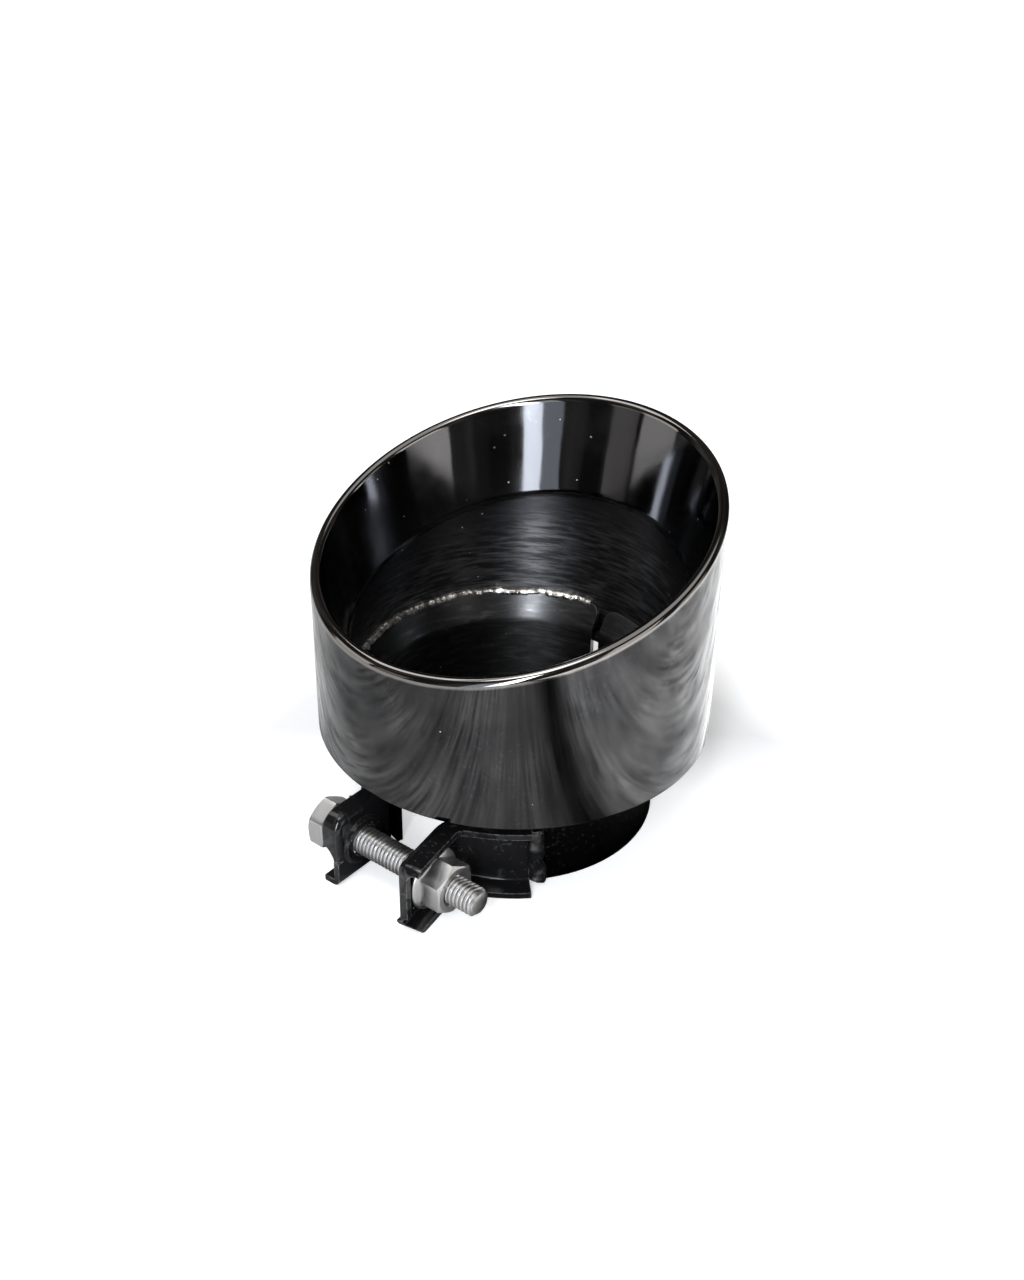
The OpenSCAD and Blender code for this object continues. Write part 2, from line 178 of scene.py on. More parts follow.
class TipColours(bpy.types.PropertyGroup):
    """Colours of the tip's finishes"""

    chrome_dark: tint("Black chrome, dark", "Darkest part of the shell's black chrome", (0.034, 0.034, 0.035))
    chrome_light: tint("Black chrome, light", "Lightest part of the shell's black chrome",
                       (0.058, 0.057, 0.056))
    rim: tint("Rim", "Rolled rim, where polishing has thinned the chrome", (0.22, 0.21, 0.20))
    sleeve: tint("Sleeve", "Black chrome of funnel and sleeve", (0.115, 0.115, 0.12))
    sleeve_brushed: tint("Brushed sleeve", "Brushed part of the sleeve", (0.062, 0.062, 0.066))
    sleeve_rubbed: tint("Rubbed sleeve", "Where brushing has worn the sleeve lighter", (0.24, 0.24, 0.245))
    collar: tint("Collar", "Blackened collar", (0.10, 0.10, 0.10))
    paint: tint("Lug paint", "Gloss black paint of the lugs", (0.007, 0.007, 0.0075))
    bare: tint("Bare metal", "Metal where paint has worn off", (0.36, 0.35, 0.34))
    weld: tint("Weld metal", "Bare weld inside the tip", (0.66, 0.62, 0.57))
    steel: tint("Bare steel", "Steel of bolt and nut", (0.66, 0.65, 0.64))
    # Also painted shade: the thread's roots take this colour
    grime_and_thread_shade: tint("Grime", "Grime in the thread", (0.10, 0.095, 0.09))
    dust: tint("Dust", "Specks of dust", (0.75, 0.75, 0.76))
    floor: tint("Floor", "Pale studio floor", (0.93, 0.93, 0.93))


class TipStage(bpy.types.PropertyGroup):
    """Camera, floor, curtain and room light of the stage"""

    azimuth: angle("Azimuth", "Direction of the camera round the tip, from -Y towards +X", 38.116)
    elevation: angle("Elevation", "Height of the camera's direction above the floor", 31.71)
    roll: angle("Roll", "Turn of the picture about its middle", 0.81)
    place: FloatVectorProperty(name="Camera place", description="Where the camera stands", size=3,
                               default=(0.21969, -0.28139, 0.27225), subtype="TRANSLATION", unit="LENGTH")
    lens: FloatProperty(name="Lens", description="Focal length on a 36 mm long side, in millimetres",
                        default=42.81, min=1.0)
    floor_width: length("Floor width", "Width of the pale floor", 12.0)
    floor_near: length("Floor near", "Distance up to which metal shows the white floor", 0.5)
    floor_far: length("Floor far", "Distance from which it no longer does", 1.6)
    floor_glow: FloatProperty(name="Floor glow", description="Strength added to the floor's own light",
                              default=0.42, min=0.0)
    # Place of the floor's painted shadow: a soft dark stripe in the tone that metal shows in the floor
    painted_shadow_band: length("Dark board", "Place of a darker board, right of the tip's axis", 0.043)
    room: FloatProperty(name="Room", description="Strength of the light from all sides", default=0.60,
                        min=0.0)
    curtain_radius: length("Curtain radius", "Distance of the dark curtain round the stage", 1.6)
    curtain_height: length("Curtain height", "Height of the dark curtain", 3.0)
    curtain_glow: FloatProperty(name="Curtain glow", description="Brightness of the dark curtain in metal",
                                default=0.08, min=0.0)


# Shared by every piece

def link(name, mesh):
    piece = bpy.data.objects.new(name, mesh)
    bpy.context.scene.collection.objects.link(piece)
    return piece


def dress(piece, nodes, material, sharp=32.0):
    """Gives a finished piece its material and shading, and lets it stand for its solids."""
    mesh = piece.data
    if material.name not in mesh.materials:
        mesh.materials.clear()
        mesh.materials.append(material)
    mesh.shade_smooth()
    mesh.set_sharp_from_angle(angle=radians(sharp))
    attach(piece, BODY)
    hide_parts(*nodes)
    return piece


def mesh_of(name, work):
    """A new mesh from an edited one, which is given up."""
    mesh = bpy.data.meshes.new(name)
    work.to_mesh(mesh)
    work.free()
    return mesh


def outward(mesh):
    """Turns a closed mesh's faces outwards."""
    work = bmesh.new()
    work.from_mesh(mesh)
    bmesh.ops.recalc_face_normals(work, faces=work.faces)
    work.to_mesh(mesh)
    work.free()
    mesh.update()


def put(tree, kind, inputs=None, **settings):
    """Adds a node. An input is named or numbered, and takes a value or another node's output."""
    made = tree.nodes.new(kind)
    for name, value in settings.items():
        setattr(made, name, value)
    for key, value in (inputs or {}).items():
        give(tree, made.inputs[key], value)
    return made


def give(tree, socket, value):
    """Gives an input a value or another node's output."""
    if isinstance(value, bpy.types.NodeSocket):
        tree.links.new(value, socket)
    else:
        socket.default_value = value


def work_out(tree, operation, *values, clamp=False):
    """A Math node's output."""
    inputs = dict(enumerate(values))
    return put(tree, "ShaderNodeMath", inputs, operation=operation, use_clamp=clamp).outputs[0]


def times(tree, *values, clamp=False):
    return work_out(tree, "MULTIPLY", *values, clamp=clamp)


def plus(tree, *values):
    return work_out(tree, "ADD", *values)


def minus(tree, *values):
    return work_out(tree, "SUBTRACT", *values)


def larger(tree, *values):
    return work_out(tree, "MAXIMUM", *values)


def vector(tree, operation, *values):
    """A Vector Math node's first output."""
    return put(tree, "ShaderNodeVectorMath", dict(enumerate(values)), operation=operation).outputs[0]


def scaled(tree, way, scale):
    """A vector times a number."""
    return put(tree, "ShaderNodeVectorMath", {0: way, "Scale": scale}, operation="SCALE").outputs[0]


def split(tree, place):
    """The X, Y and Z outputs of a place."""
    return put(tree, "ShaderNodeSeparateXYZ", {0: place}).outputs


def position(tree):
    """A geometry tree's own places."""
    return put(tree, "GeometryNodeInputPosition").outputs[0]


def built_once(name):
    """Lets a function build the node tree of that name, unless the file has it already."""
    def keep(build):
        @wraps(build)
        def found():
            return bpy.data.node_groups.get(name) or build(name)
        return found
    return keep


def new_tree(name, kind, inputs, outputs):
    """An empty node group with named sockets, given as (name, socket type, default)."""
    tree = bpy.data.node_groups.new(name, kind)
    for direction, sockets in (("INPUT", inputs), ("OUTPUT", outputs)):
        for label, socket_type, default in sockets:
            socket = tree.interface.new_socket(label, in_out=direction, socket_type=socket_type)
            if default is not None:
                socket.default_value = default
    return tree, put(tree, "NodeGroupInput").outputs, put(tree, "NodeGroupOutput").inputs


GEOMETRY = "NodeSocketGeometry"
FLOAT = "NodeSocketFloat"
WHOLE = "NodeSocketInt"
VECTOR = "NodeSocketVector"
MATERIAL = "NodeSocketMaterial"


def grown(name, mesh, tree, values):
    """A piece made by a geometry tree from a mesh, as a plain mesh."""
    piece = link(name, mesh)
    modifier = piece.modifiers.new(tree.name, "NODES")
    modifier.node_group = tree
    for item in tree.interface.items_tree:
        if item.in_out == "INPUT" and item.name in values:
            modifier[item.identifier] = values[item.name]
    bpy.context.view_layer.update()
    evaluated = piece.evaluated_get(bpy.context.evaluated_depsgraph_get())
    plain = bpy.data.meshes.new_from_object(evaluated)
    piece.modifiers.remove(modifier)
    piece.data = plain
    plain.name = name
    outward(plain)
    return piece


# Turned walls

def arc(middle, radius, start, end, steps):
    """Points of an arc in the plane of radius and height, angles in degrees."""
    turns = [radians(start + (end - start) * i / steps) for i in range(steps + 1)]
    return [(middle[0] + radius * cos(t), middle[1] + radius * sin(t)) for t in turns]


def with_share(points, share):
    return [(r, z, share) for r, z in points]


def supported(section, step=0.004, margin=0.00025):
    """Adds points along the straight parts of a closed section, and close to their ends, so that shading
    stays even."""
    made = []
    for here, after in zip(section, section[1:] + section[:1]):
        made.append(here)
        span = hypot(after[0] - here[0], after[1] - here[1])
        if span < 4 * margin:
            continue
        count = max(1, round(span / step))
        stops = [margin / span] + [i / count for i in range(1, count)] + [1 - margin / span]
        made += [tuple(a + (b - a) * t for a, b in zip(here, after)) for t in stops]
    return made


def section_mesh(name, section):
    """A closed section as a ring of edges, with its share of the slash cut as an attribute."""
    mesh = bpy.data.meshes.new(name)
    count = len(section)
    mesh.from_pydata([(r, 0.0, z) for r, z, _ in section], [(i, (i + 1) % count) for i in range(count)], [])
    shares = mesh.attributes.new("share", "FLOAT", "POINT")
    shares.data.foreach_set("value", [share for _, _, share in section])
    return mesh


def turned_grid(tree, stations, rows):
    """A flat grid to be turned round an axis: its mesh, and each place's share of the turn and its row."""
    sheet = put(tree, "GeometryNodeMeshGrid", {"Vertices X": plus(tree, stations, 1.0),
                                               "Vertices Y": plus(tree, rows, 1.0), "Size X": 1.0,
                                               "Size Y": 1.0})
    spot = split(tree, position(tree))
    row = work_out(tree, "ROUND", times(tree, plus(tree, spot["Y"], 0.5), rows))
    return sheet.outputs["Mesh"], plus(tree, spot["X"], 0.5), row


@built_once("Slashed wall")
def wall_tree(name):
    """Geometry tree that turns a section round the axis and tilts it along the slash cut."""
    tree, given, result = new_tree(
        name, "GeometryNodeTree",
        [("Section", GEOMETRY, None), ("Stations", WHOLE, 96), ("Rise X", FLOAT, 0.0), ("Rise Y", FLOAT, 0.0),
         ("Finish", MATERIAL, None)],
        [("Wall", GEOMETRY, None)])
    size = put(tree, "GeometryNodeAttributeDomainSize", {"Geometry": given["Section"]})
    count = size.outputs["Point Count"]
    sheet, share_of_turn, row = turned_grid(tree, given["Stations"], count)
    turn = times(tree, share_of_turn, 2 * pi)
    row = work_out(tree, "MODULO", row, count)
    sampled = put(tree, "GeometryNodeSampleIndex",
                  {"Geometry": given["Section"], "Index": row}, data_type="FLOAT_VECTOR", domain="POINT")
    tree.links.new(position(tree), sampled.inputs["Value"])
    share = put(tree, "GeometryNodeSampleIndex",
                {"Geometry": given["Section"], "Index": row}, data_type="FLOAT", domain="POINT")
    named = put(tree, "GeometryNodeInputNamedAttribute", {"Name": "share"}, data_type="FLOAT")
    tree.links.new(named.outputs["Attribute"], share.inputs["Value"])
    profile = split(tree, sampled.outputs["Value"])
    x = times(tree, profile["X"], work_out(tree, "COSINE", turn))
    y = times(tree, profile["X"], work_out(tree, "SINE", turn))
    rise = plus(tree, times(tree, x, given["Rise X"]), times(tree, y, given["Rise Y"]))
    z = work_out(tree, "MULTIPLY_ADD", rise, share.outputs["Value"], profile["Z"])
    placed = put(tree, "ShaderNodeCombineXYZ", {"X": x, "Y": y, "Z": z}).outputs[0]
    moved = put(tree, "GeometryNodeSetPosition", {"Geometry": sheet, "Position": placed})
    finish(tree, moved.outputs[0], given["Finish"], result[0])
    return tree


def finish(tree, geometry, material, result, gap=2 * TINY):
    """Ends a geometry tree: closed, real geometry, smooth, with its material."""
    closed = put(tree, "GeometryNodeMergeByDistance", {"Geometry": geometry, "Distance": gap})
    real = put(tree, "GeometryNodeRealizeInstances", {"Geometry": closed.outputs[0]})
    smooth = put(tree, "GeometryNodeSetShadeSmooth", {"Geometry": real.outputs[0]})
    painted = put(tree, "GeometryNodeSetMaterial", {"Geometry": smooth.outputs[0], "Material": material})
    tree.links.new(painted.outputs[0], result)


def turned_wall(name, section, material):
    values = {"Stations": bpy.context.scene.tip_sizes.stations, "Rise X": RISE_X, "Rise Y": RISE_Y,
              "Finish": material}
    return grown(name, section_mesh(name, supported(section)), wall_tree(), values)


def funnel(sizes):
    """Lean of the funnel's wall in degrees, the place of the rim's middle, and the place of the funnel's
    upper edge."""
    rim = (SHELL_R - sizes.rim_radius, RIM_FOOT_Z)
    narrowing = SHELL_R - 2 * sizes.rim_radius - sizes.throat_radius
    lean = atan(narrowing / (sizes.funnel_depth - sizes.rim_radius))
    lip = (rim[0] - sizes.rim_radius * cos(lean), rim[1] + sizes.rim_radius * sin(lean))
    return degrees(lean), rim, lip


def shell_section(sizes):
    lean, rim, lip = funnel(sizes)
    inner_r = SHELL_R - sizes.shell_wall
    edge = sizes.sheet_edge
    across = (sizes.sleeve_wall * cos(radians(lean)), -sizes.sleeve_wall * sin(radians(lean)))
    under = (lip[0] + across[0], lip[1] + across[1])
    return (with_share(arc((SHELL_R - edge, SHELL_FOOT_Z + edge), edge, 270, 360, 3), 0.0)
            + with_share(arc(rim, sizes.rim_radius, 0, 180 - lean, 20), 1.0)
            + with_share([under, (inner_r, under[1])], 1.0)
            + with_share(arc((inner_r + edge, SHELL_FOOT_Z + edge), edge, 180, 270, 3), 0.0))


def sleeve_section(sizes):
    lean, _, lip = funnel(sizes)
    bend = sizes.throat_bend
    slope = radians(lean)
    bend_top_r = sizes.throat_radius + bend * (1 - cos(slope))
    bend_top_z = lip[1] - (lip[0] - bend_top_r) / tan(slope)
    bend_middle = (sizes.throat_radius + bend, bend_top_z - bend * sin(slope))
    down = (-HAIR * sin(slope), -HAIR * cos(slope))
    across = (sizes.sleeve_wall * cos(slope), -sizes.sleeve_wall * sin(slope))
    edge = (lip[0] + down[0], lip[1] + down[1])
    outer_edge = (edge[0] + across[0], edge[1] + across[1])
    foot_z = SLEEVE_FOOT_Z
    taper_z = FLARE_TOP_Z + 0.001
    return (with_share([(SLEEVE_FOOT_R + sizes.sleeve_wall, foot_z)], 0.0)
            + with_share([(SLEEVE_FOOT_R + sizes.sleeve_wall, taper_z)], 0.0)
            + with_share(arc(bend_middle, bend - sizes.sleeve_wall, 180, 180 - lean, 12), 1.0)
            + with_share([outer_edge, edge], 1.0)
            + with_share(arc(bend_middle, bend, 180 - lean, 180, 12), 1.0)
            + with_share([(SLEEVE_FOOT_R, taper_z)], 0.0)
            + with_share([(SLEEVE_FOOT_R, foot_z)], 0.0))


def ring_section(sizes):
    bend = sizes.ring_bend
    sheet = sizes.sleeve_wall
    middle = (RING_OUTER_R - bend, RING_LOW + bend)
    return with_share(
        [(RING_INNER_R, RING_LOW)] + arc(middle, bend, 270, 360, 10)
        + [(RING_OUTER_R, RING_HIGH), (RING_OUTER_R - sheet, RING_HIGH)]
        + arc(middle, bend - sheet, 360, 270, 8) + [(RING_INNER_R, RING_LOW + sheet)], 0.0)


# The split collar, laid out as a sheet from one side of the seam round to the other

def collar_outside(sizes, z):
    """Radius of the collar's outer face at a height."""
    collar_r = PIPE_R + sizes.collar_wall
    lean = atan((FLARE_R - collar_r) / sizes.flare_height)
    bend = sizes.flare_bend
    foot = (FLARE_TOP_Z - bend * sin(lean)
            - (FLARE_R - collar_r - bend * (1 - cos(lean))) / tan(lean))
    if z <= foot:
        return collar_r, foot
    if z <= foot + bend * sin(lean):
        return collar_r + bend - sqrt(bend ** 2 - (z - foot) ** 2), foot
    return FLARE_R - (FLARE_TOP_Z - z) * tan(lean), foot


def rounded_steps(corner, steps):
    """Distances from a slot's side across its rounded corner, closer together near the side."""
    return [corner * (1 - cos(pi / 2 * i / steps)) for i in range(steps + 1)]


def corner_height(distance, corner):
    """How far a rounded corner has run out at a distance from the slot's side."""
    if distance >= corner:
        return corner
    return sqrt(corner ** 2 - (corner - distance) ** 2)


def collar_mesh(sizes):
    collar_r = PIPE_R + sizes.collar_wall
    corner = sizes.slot_corner
    half_gap = asin(sizes.gap_width / 2 / collar_r)
    seam = asin(sizes.seam_width / 2 / collar_r)
    foot = collar_outside(sizes, 0.0)[1]
    shoulder = sizes.gap_top - corner
    # Columns from the seam's side, at the back, to the middle of the gap, as turns from the back
    columns = [seam + d / collar_r for d in rounded_steps(corner, 8)]
    side = pi - half_gap
    columns += [columns[-1] + (side - columns[-1]) * i / 72 for i in range(1, 73)]
    gap_from = len(columns) - 1
    for d in rounded_steps(corner, 8)[1:]:
        columns.append(pi - asin((sizes.gap_width / 2 - d) / collar_r))
    columns += [columns[-1] + (pi - columns[-1]) * i / 6 for i in range(1, 7)]
    mirrored = [2 * pi - c for c in reversed(columns[:-1])]
    gap_to = len(columns) + len(mirrored) - 1 - gap_from
    columns += mirrored
    work = bmesh.new()

    def point(turn, z):
        r = collar_outside(sizes, z)[0]
        return work.verts.new((-r * sin(turn), r * cos(turn), z))

    def ladder(low, high, count):
        return [low + (high - low) * i / count for i in range(count)]

    grid = []
    for index, turn in enumerate(columns):
        from_seam = (min(turn, 2 * pi - turn) - seam) * collar_r
        top = FLARE_TOP_Z - corner + corner_height(from_seam, corner)
        upper_from = shoulder
        lower = []
        if gap_from < index < gap_to:
            from_side = sizes.gap_width / 2 - abs(collar_r * sin(turn))
            upper_from = shoulder + corner_height(from_side, corner)
        else:
            lower = ladder(0.0, shoulder, 8)
        bend_top = foot + sizes.flare_bend
        heights = (ladder(upper_from, foot, 6) + ladder(foot, bend_top, 6) + ladder(bend_top, top, 8) + [top])
        grid.append(([point(turn, z) for z in lower], [point(turn, z) for z in heights]))
    for (low, high), (next_low, next_high) in zip(grid, grid[1:]):
        for column, after in ((high, next_high), (low + high[:1], next_low + next_high[:1])):
            if len(column) != len(after) or len(column) < 2:
                continue
            for i in range(len(column) - 1):
                work.faces.new((column[i], after[i], after[i + 1], column[i + 1]))
    return mesh_of("collar", work)


# Hexagons

def hex_radius(turn, flats, corner):
    """Distance from the middle of a hexagon with rounded corners to its side, one corner being at turn 0."""
    beside = (turn + pi / 6) % (pi / 3) - pi / 6
    half = flats / 2
    middle = (half - corner) / cos(pi / 6)
    reach = atan2(corner * sin(pi / 6), middle + corner * cos(pi / 6))
    if abs(beside) >= reach:
        return half / cos(pi / 6 - abs(beside))
    return middle * cos(beside) + sqrt(max(corner ** 2 - (middle * sin(beside)) ** 2, 0.0))


def hex_turns(flats, corner, flat_steps=6, corner_steps=4):
    """Turns round a hexagon that follow its corners and its flats."""
    middle = (flats / 2 - corner) / cos(pi / 6)
    reach = atan2(corner * sin(pi / 6), middle + corner * cos(pi / 6))
    made = []
    for side in range(6):
        start = side * pi / 3
        made += [start - reach + 2 * reach * i / corner_steps for i in range(corner_steps)]
        made += [start + reach + (pi / 3 - 2 * reach) * i / flat_steps for i in range(flat_steps)]
    return made


def ring_mesh(name, rows):
    """A mesh from closed rows of points, each joined to the next. A row of one point is a pole."""
    work = bmesh.new()
    made = [[work.verts.new(p) for p in row] for row in rows]
    for low, high in zip(made, made[1:]):
        count = max(len(low), len(high))
        for i in range(count):
            j = (i + 1) % count
            corners = [low[i % len(low)], low[j % len(low)], high[j % len(high)], high[i % len(high)]]
            work.faces.new(list(dict.fromkeys(corners)))
    bmesh.ops.recalc_face_normals(work, faces=work.faces)
    return mesh_of(name, work)


def hexagon_rows(sizes, face_x, base_x, bore=None):
    """Rows of points of a hexagon block along X, with its chamfer at face_x. A block with a bore is left open
    there."""
    flats, corner = sizes.hex_flats, sizes.hex_corner
    way = 1.0 if face_x > base_x else -1.0
    turns = hex_turns(flats, corner)
    face_r = HEX_FACE * flats / 2
    soft = SOFT_EDGE

    def row(radius_at, x_at):
        return [(x_at(t), BOLT_Y + radius_at(t) * sin(t), BOLT_Z + radius_at(t) * cos(t)) for t in turns]

    def side(t):
        return hex_radius(t, flats, corner)

    def chamfer_x(r):
        return face_x - way * max(0.0, r - face_r) * tan(HEX_CHAMFER)

    def flat_at(x):
        return lambda t: x

    def circle(r):
        return lambda t: r

    rows = []
    if bore is None:
        rows.append([(base_x, BOLT_Y, BOLT_Z)])
    else:
        rows.append(row(circle(bore), flat_at(base_x)))
    rows.append(row(circle(face_r * 0.9), flat_at(base_x)))
    rows.append(row(lambda t: side(t) - soft, flat_at(base_x)))
    rows.append(row(side, flat_at(base_x + way * soft)))
    for share in (0.1, 0.5, 0.9, 1.0):
        rows.append(row(side, lambda t, s=share: base_x + way * soft
                        + (chamfer_x(side(t)) - way * soft - base_x) * s))
    for share in (0.05, 0.5, 0.97):
        rows.append(row(lambda t, s=share: side(t) + (face_r - side(t)) * s,
                        lambda t, s=share: chamfer_x(side(t) + (face_r - side(t)) * s)))
    rows.append(row(circle(face_r), flat_at(face_x - way * HAIR)))
    rows.append(row(circle(face_r - soft), flat_at(face_x)))
    if bore is None:
        rows.append(row(circle(face_r * 0.6), flat_at(face_x)))
        rows.append([(face_x, BOLT_Y, BOLT_Z)])
    else:
        rows.append(row(circle(bore + BORE_CHAMFER[0]), flat_at(face_x)))
        rows.append(row(circle(bore), flat_at(face_x - way * BORE_CHAMFER[1])))
        rows.append(rows[0])
    return rows


def washer_rows(sizes, bore):
    """Rows of points of the nut's flange, a flat disc whose back slopes up to the hexagon."""
    base = NUT_LOW.x
    cone = FLANGE_EDGE + (NUT_FLANGE_R - sizes.hex_flats / 2) * tan(FLANGE_SLOPE)
    profile = ([(bore, base)] + [(NUT_FLANGE_R - inward, base + up) for inward, up in FLANGE_RIM]
               + [(sizes.hex_flats / 2 - 0.0005, base + cone), (bore, base + cone)])
    turns = [2 * pi * i / 72 for i in range(72)]
    rows = [[(x, BOLT_Y + r * sin(t), BOLT_Z + r * cos(t)) for t in turns] for r, x in profile]
    return rows + rows[:1]


def joined(name, meshes):
    """One mesh from several."""
    work = bmesh.new()
    for mesh in meshes:
        work.from_mesh(mesh)
    bmesh.ops.remove_doubles(work, verts=work.verts, dist=TINY)
    bmesh.ops.recalc_face_normals(work, faces=work.faces)
    return mesh_of(name, work)


def thread_tree():
    """Geometry tree of a threaded bolt shank along X: a tube whose radius follows the helix, closed at both
    ends."""
    tree, given, result = new_tree(
        "Screw thread", "GeometryNodeTree",
        [("Base", GEOMETRY, None), ("Radius", FLOAT, 0.004), ("Pitch", FLOAT, 0.00125),
         ("Depth", FLOAT, 0.0007), ("Length", FLOAT, 0.05), ("Tip", FLOAT, 0.0009), ("Round", WHOLE, 48),
         ("Along", WHOLE, 400), ("Start", VECTOR, (0.0, 0.0, 0.0)), ("Finish", MATERIAL, None)],
        [("Shank", GEOMETRY, None)])
    rows = plus(tree, given["Along"], 2.0)
    sheet, turn, row = turned_grid(tree, given["Round"], rows)
    share = work_out(tree, "DIVIDE", minus(tree, row, 1.0), given["Along"], clamp=True)
    along = times(tree, share, given["Length"])
    phase = minus(tree, work_out(tree, "DIVIDE", along, given["Pitch"]), turn)
    crest = times(tree, work_out(tree, "PINGPONG", phase, 0.5), 2.0)
    # The thread's flanks, with its crest and root flattened
    flank = put(tree, "ShaderNodeMapRange", {0: crest, 1: 0.12, 2: 0.86, 3: 1.0, 4: 0.0},
                interpolation_type="SMOOTHSTEP").outputs[0]
    cut = times(tree, flank, given["Depth"])
    radius = minus(tree, given["Radius"], cut)
    # The bolt's end is chamfered
    left = minus(tree, given["Length"], along)
    chamfer = minus(tree, given["Radius"], larger(tree, minus(tree, given["Tip"], left), 0.0))
    radius = work_out(tree, "MINIMUM", radius, chamfer)
    inside = times(tree, work_out(tree, "GREATER_THAN", row, 0.5),
                   work_out(tree, "LESS_THAN", row, minus(tree, rows, 0.5)))
    radius = times(tree, radius, inside)
    sweep = times(tree, turn, 2 * pi)
    spun = put(tree, "ShaderNodeCombineXYZ",
               {"X": along, "Y": times(tree, radius, work_out(tree, "SINE", sweep)),
                "Z": times(tree, radius, work_out(tree, "COSINE", sweep))})
    placed = vector(tree, "ADD", spun.outputs[0], given["Start"])
    moved = put(tree, "GeometryNodeSetPosition", {"Geometry": sheet, "Position": placed})
    finish(tree, moved.outputs[0], given["Finish"], result[0])
    return tree


# Cuts of a weld bead in one ripple, how many bends it makes in one, and its lumps as a share of its radius
BEAD_STEPS = 10.0
SWAY = 0.35
LUMPS = 0.6
# How far a lug's bead stands off the collar and ends inside its solid, as shares of its radius, and how far
# the flare's bead lies in from the flare's edge, as a share of the sheet, and above it
BEAD_STAND = 0.45
BEAD_END = 0.6
FLARE_BEAD_IN = 0.4
FLARE_BEAD_UP = 0.0002


@built_once("Weld bead")
def bead_tree(name):
    """Geometry tree of a weld bead that follows a path in ripples."""
    tree, given, result = new_tree(
        name, "GeometryNodeTree",
        [("Path", GEOMETRY, None), ("Bead", FLOAT, 0.002), ("Pitch", FLOAT, 0.003), ("Neck", FLOAT, 0.3),
         ("Unevenness", FLOAT, 0.2), ("Wander", FLOAT, 0.0003), ("Grain", FLOAT, 500.0), ("Seed", FLOAT, 1.0),
         ("Finish", MATERIAL, None)],
        [("Weld", GEOMETRY, None)])
    path = put(tree, "GeometryNodeMeshToCurve", {"Mesh": given["Path"]})
    step = work_out(tree, "DIVIDE", given["Pitch"], BEAD_STEPS)
    fine = put(tree, "GeometryNodeResampleCurve", {"Curve": path.outputs[0], "Length": step}, mode="LENGTH")
    spot = position(tree)

    def noise(scale):
        return put(tree, "ShaderNodeTexNoise", {"Vector": spot, "W": given["Seed"], "Scale": scale,
                                                "Detail": 1.5}, noise_dimensions="4D")

    run = put(tree, "GeometryNodeSplineParameter").outputs["Length"]
    sway = noise(work_out(tree, "DIVIDE", SWAY, given["Pitch"]))
    steps = plus(tree, work_out(tree, "DIVIDE", run, given["Pitch"]), times(tree, sway.outputs[0], 1.2))
    wave = work_out(tree, "ABSOLUTE", work_out(tree, "SINE", times(tree, steps, pi)))
    wave = work_out(tree, "POWER", wave, 0.8)
    swell = times(tree, minus(tree, 1.0, wave), given["Neck"])
    uneven = times(tree, minus(tree, sway.outputs[0], 0.5), given["Unevenness"])
    width = plus(tree, minus(tree, 1.0, swell), uneven)
    # Both ends run out
    ends = work_out(tree, "PINGPONG", put(tree, "GeometryNodeSplineParameter").outputs["Factor"], 0.5)
    whole = put(tree, "GeometryNodeSplineLength").outputs["Length"]
    run_out = work_out(tree, "DIVIDE", times(tree, ends, whole), given["Bead"])
    run_out = work_out(tree, "SQRT", work_out(tree, "MINIMUM", plus(tree, run_out, 0.05), 1.0))
    width = times(tree, width, run_out)
    sideways = vector(tree, "SUBTRACT", sway.outputs["Color"], (0.5, 0.5, 0.5))
    shift = scaled(tree, sideways, given["Wander"])
    swayed = put(tree, "GeometryNodeSetPosition", {"Geometry": fine.outputs[0], "Offset": shift})
    thick = put(tree, "GeometryNodeSetCurveRadius", {"Curve": swayed.outputs[0], "Radius": width})
    round_section = put(tree, "GeometryNodeCurvePrimitiveCircle", {"Resolution": 20, "Radius": given["Bead"]})
    tube = put(tree, "GeometryNodeCurveToMesh",
               {"Curve": thick.outputs[0], "Profile Curve": round_section.outputs[0], "Fill Caps": True})
    grain = noise(given["Grain"])
    push = times(tree, minus(tree, grain.outputs[0], 0.5), times(tree, given["Bead"], LUMPS))
    offset = scaled(tree, put(tree, "GeometryNodeInputNormal").outputs[0], push)
    rough = put(tree, "GeometryNodeSetPosition", {"Geometry": tube.outputs[0], "Offset": offset})
    finish(tree, rough.outputs[0], given["Finish"], result[0], TINY)
    return tree


def path_mesh(name, points):
    mesh = bpy.data.meshes.new(name)
    mesh.from_pydata(points, [(i, i + 1) for i in range(len(points) - 1)], [])
    return mesh


def round_edges(piece, width, limit):
    """Rounds the edges that turn by more than a limit in degrees."""
    rounding = piece.modifiers.new("Rounded edges", "BEVEL")
    rounding.width = width
    rounding.segments = 2
    rounding.limit_method = "ANGLE"
    rounding.angle_limit = radians(limit)


def round_off(work, radius):
    """Rounds the lower outer end of the nut side ear, in steps of flat cuts."""
    away = Vector((sin(EAR_SPLAY), -cos(EAR_SPLAY), 0.0))
    end = max(v.co.dot(away) for v in work.verts)
    middle = away * (end - radius) + Vector((0.0, 0.0, radius))
    for step in range(EAR_CUTS):
        turn = pi / 2 * (step + 0.5) / EAR_CUTS
        way = away * cos(turn) - Vector((0.0, 0.0, sin(turn)))
        every = work.verts[:] + work.edges[:] + work.faces[:]
        cut = bmesh.ops.bisect_plane(work, geom=every, plane_co=middle + way * radius, plane_no=way,
                                     clear_outer=True)
        edges = [e for e in cut["geom_cut"] if isinstance(e, bmesh.types.BMEdge)]
        bmesh.ops.contextual_create(work, geom=edges)


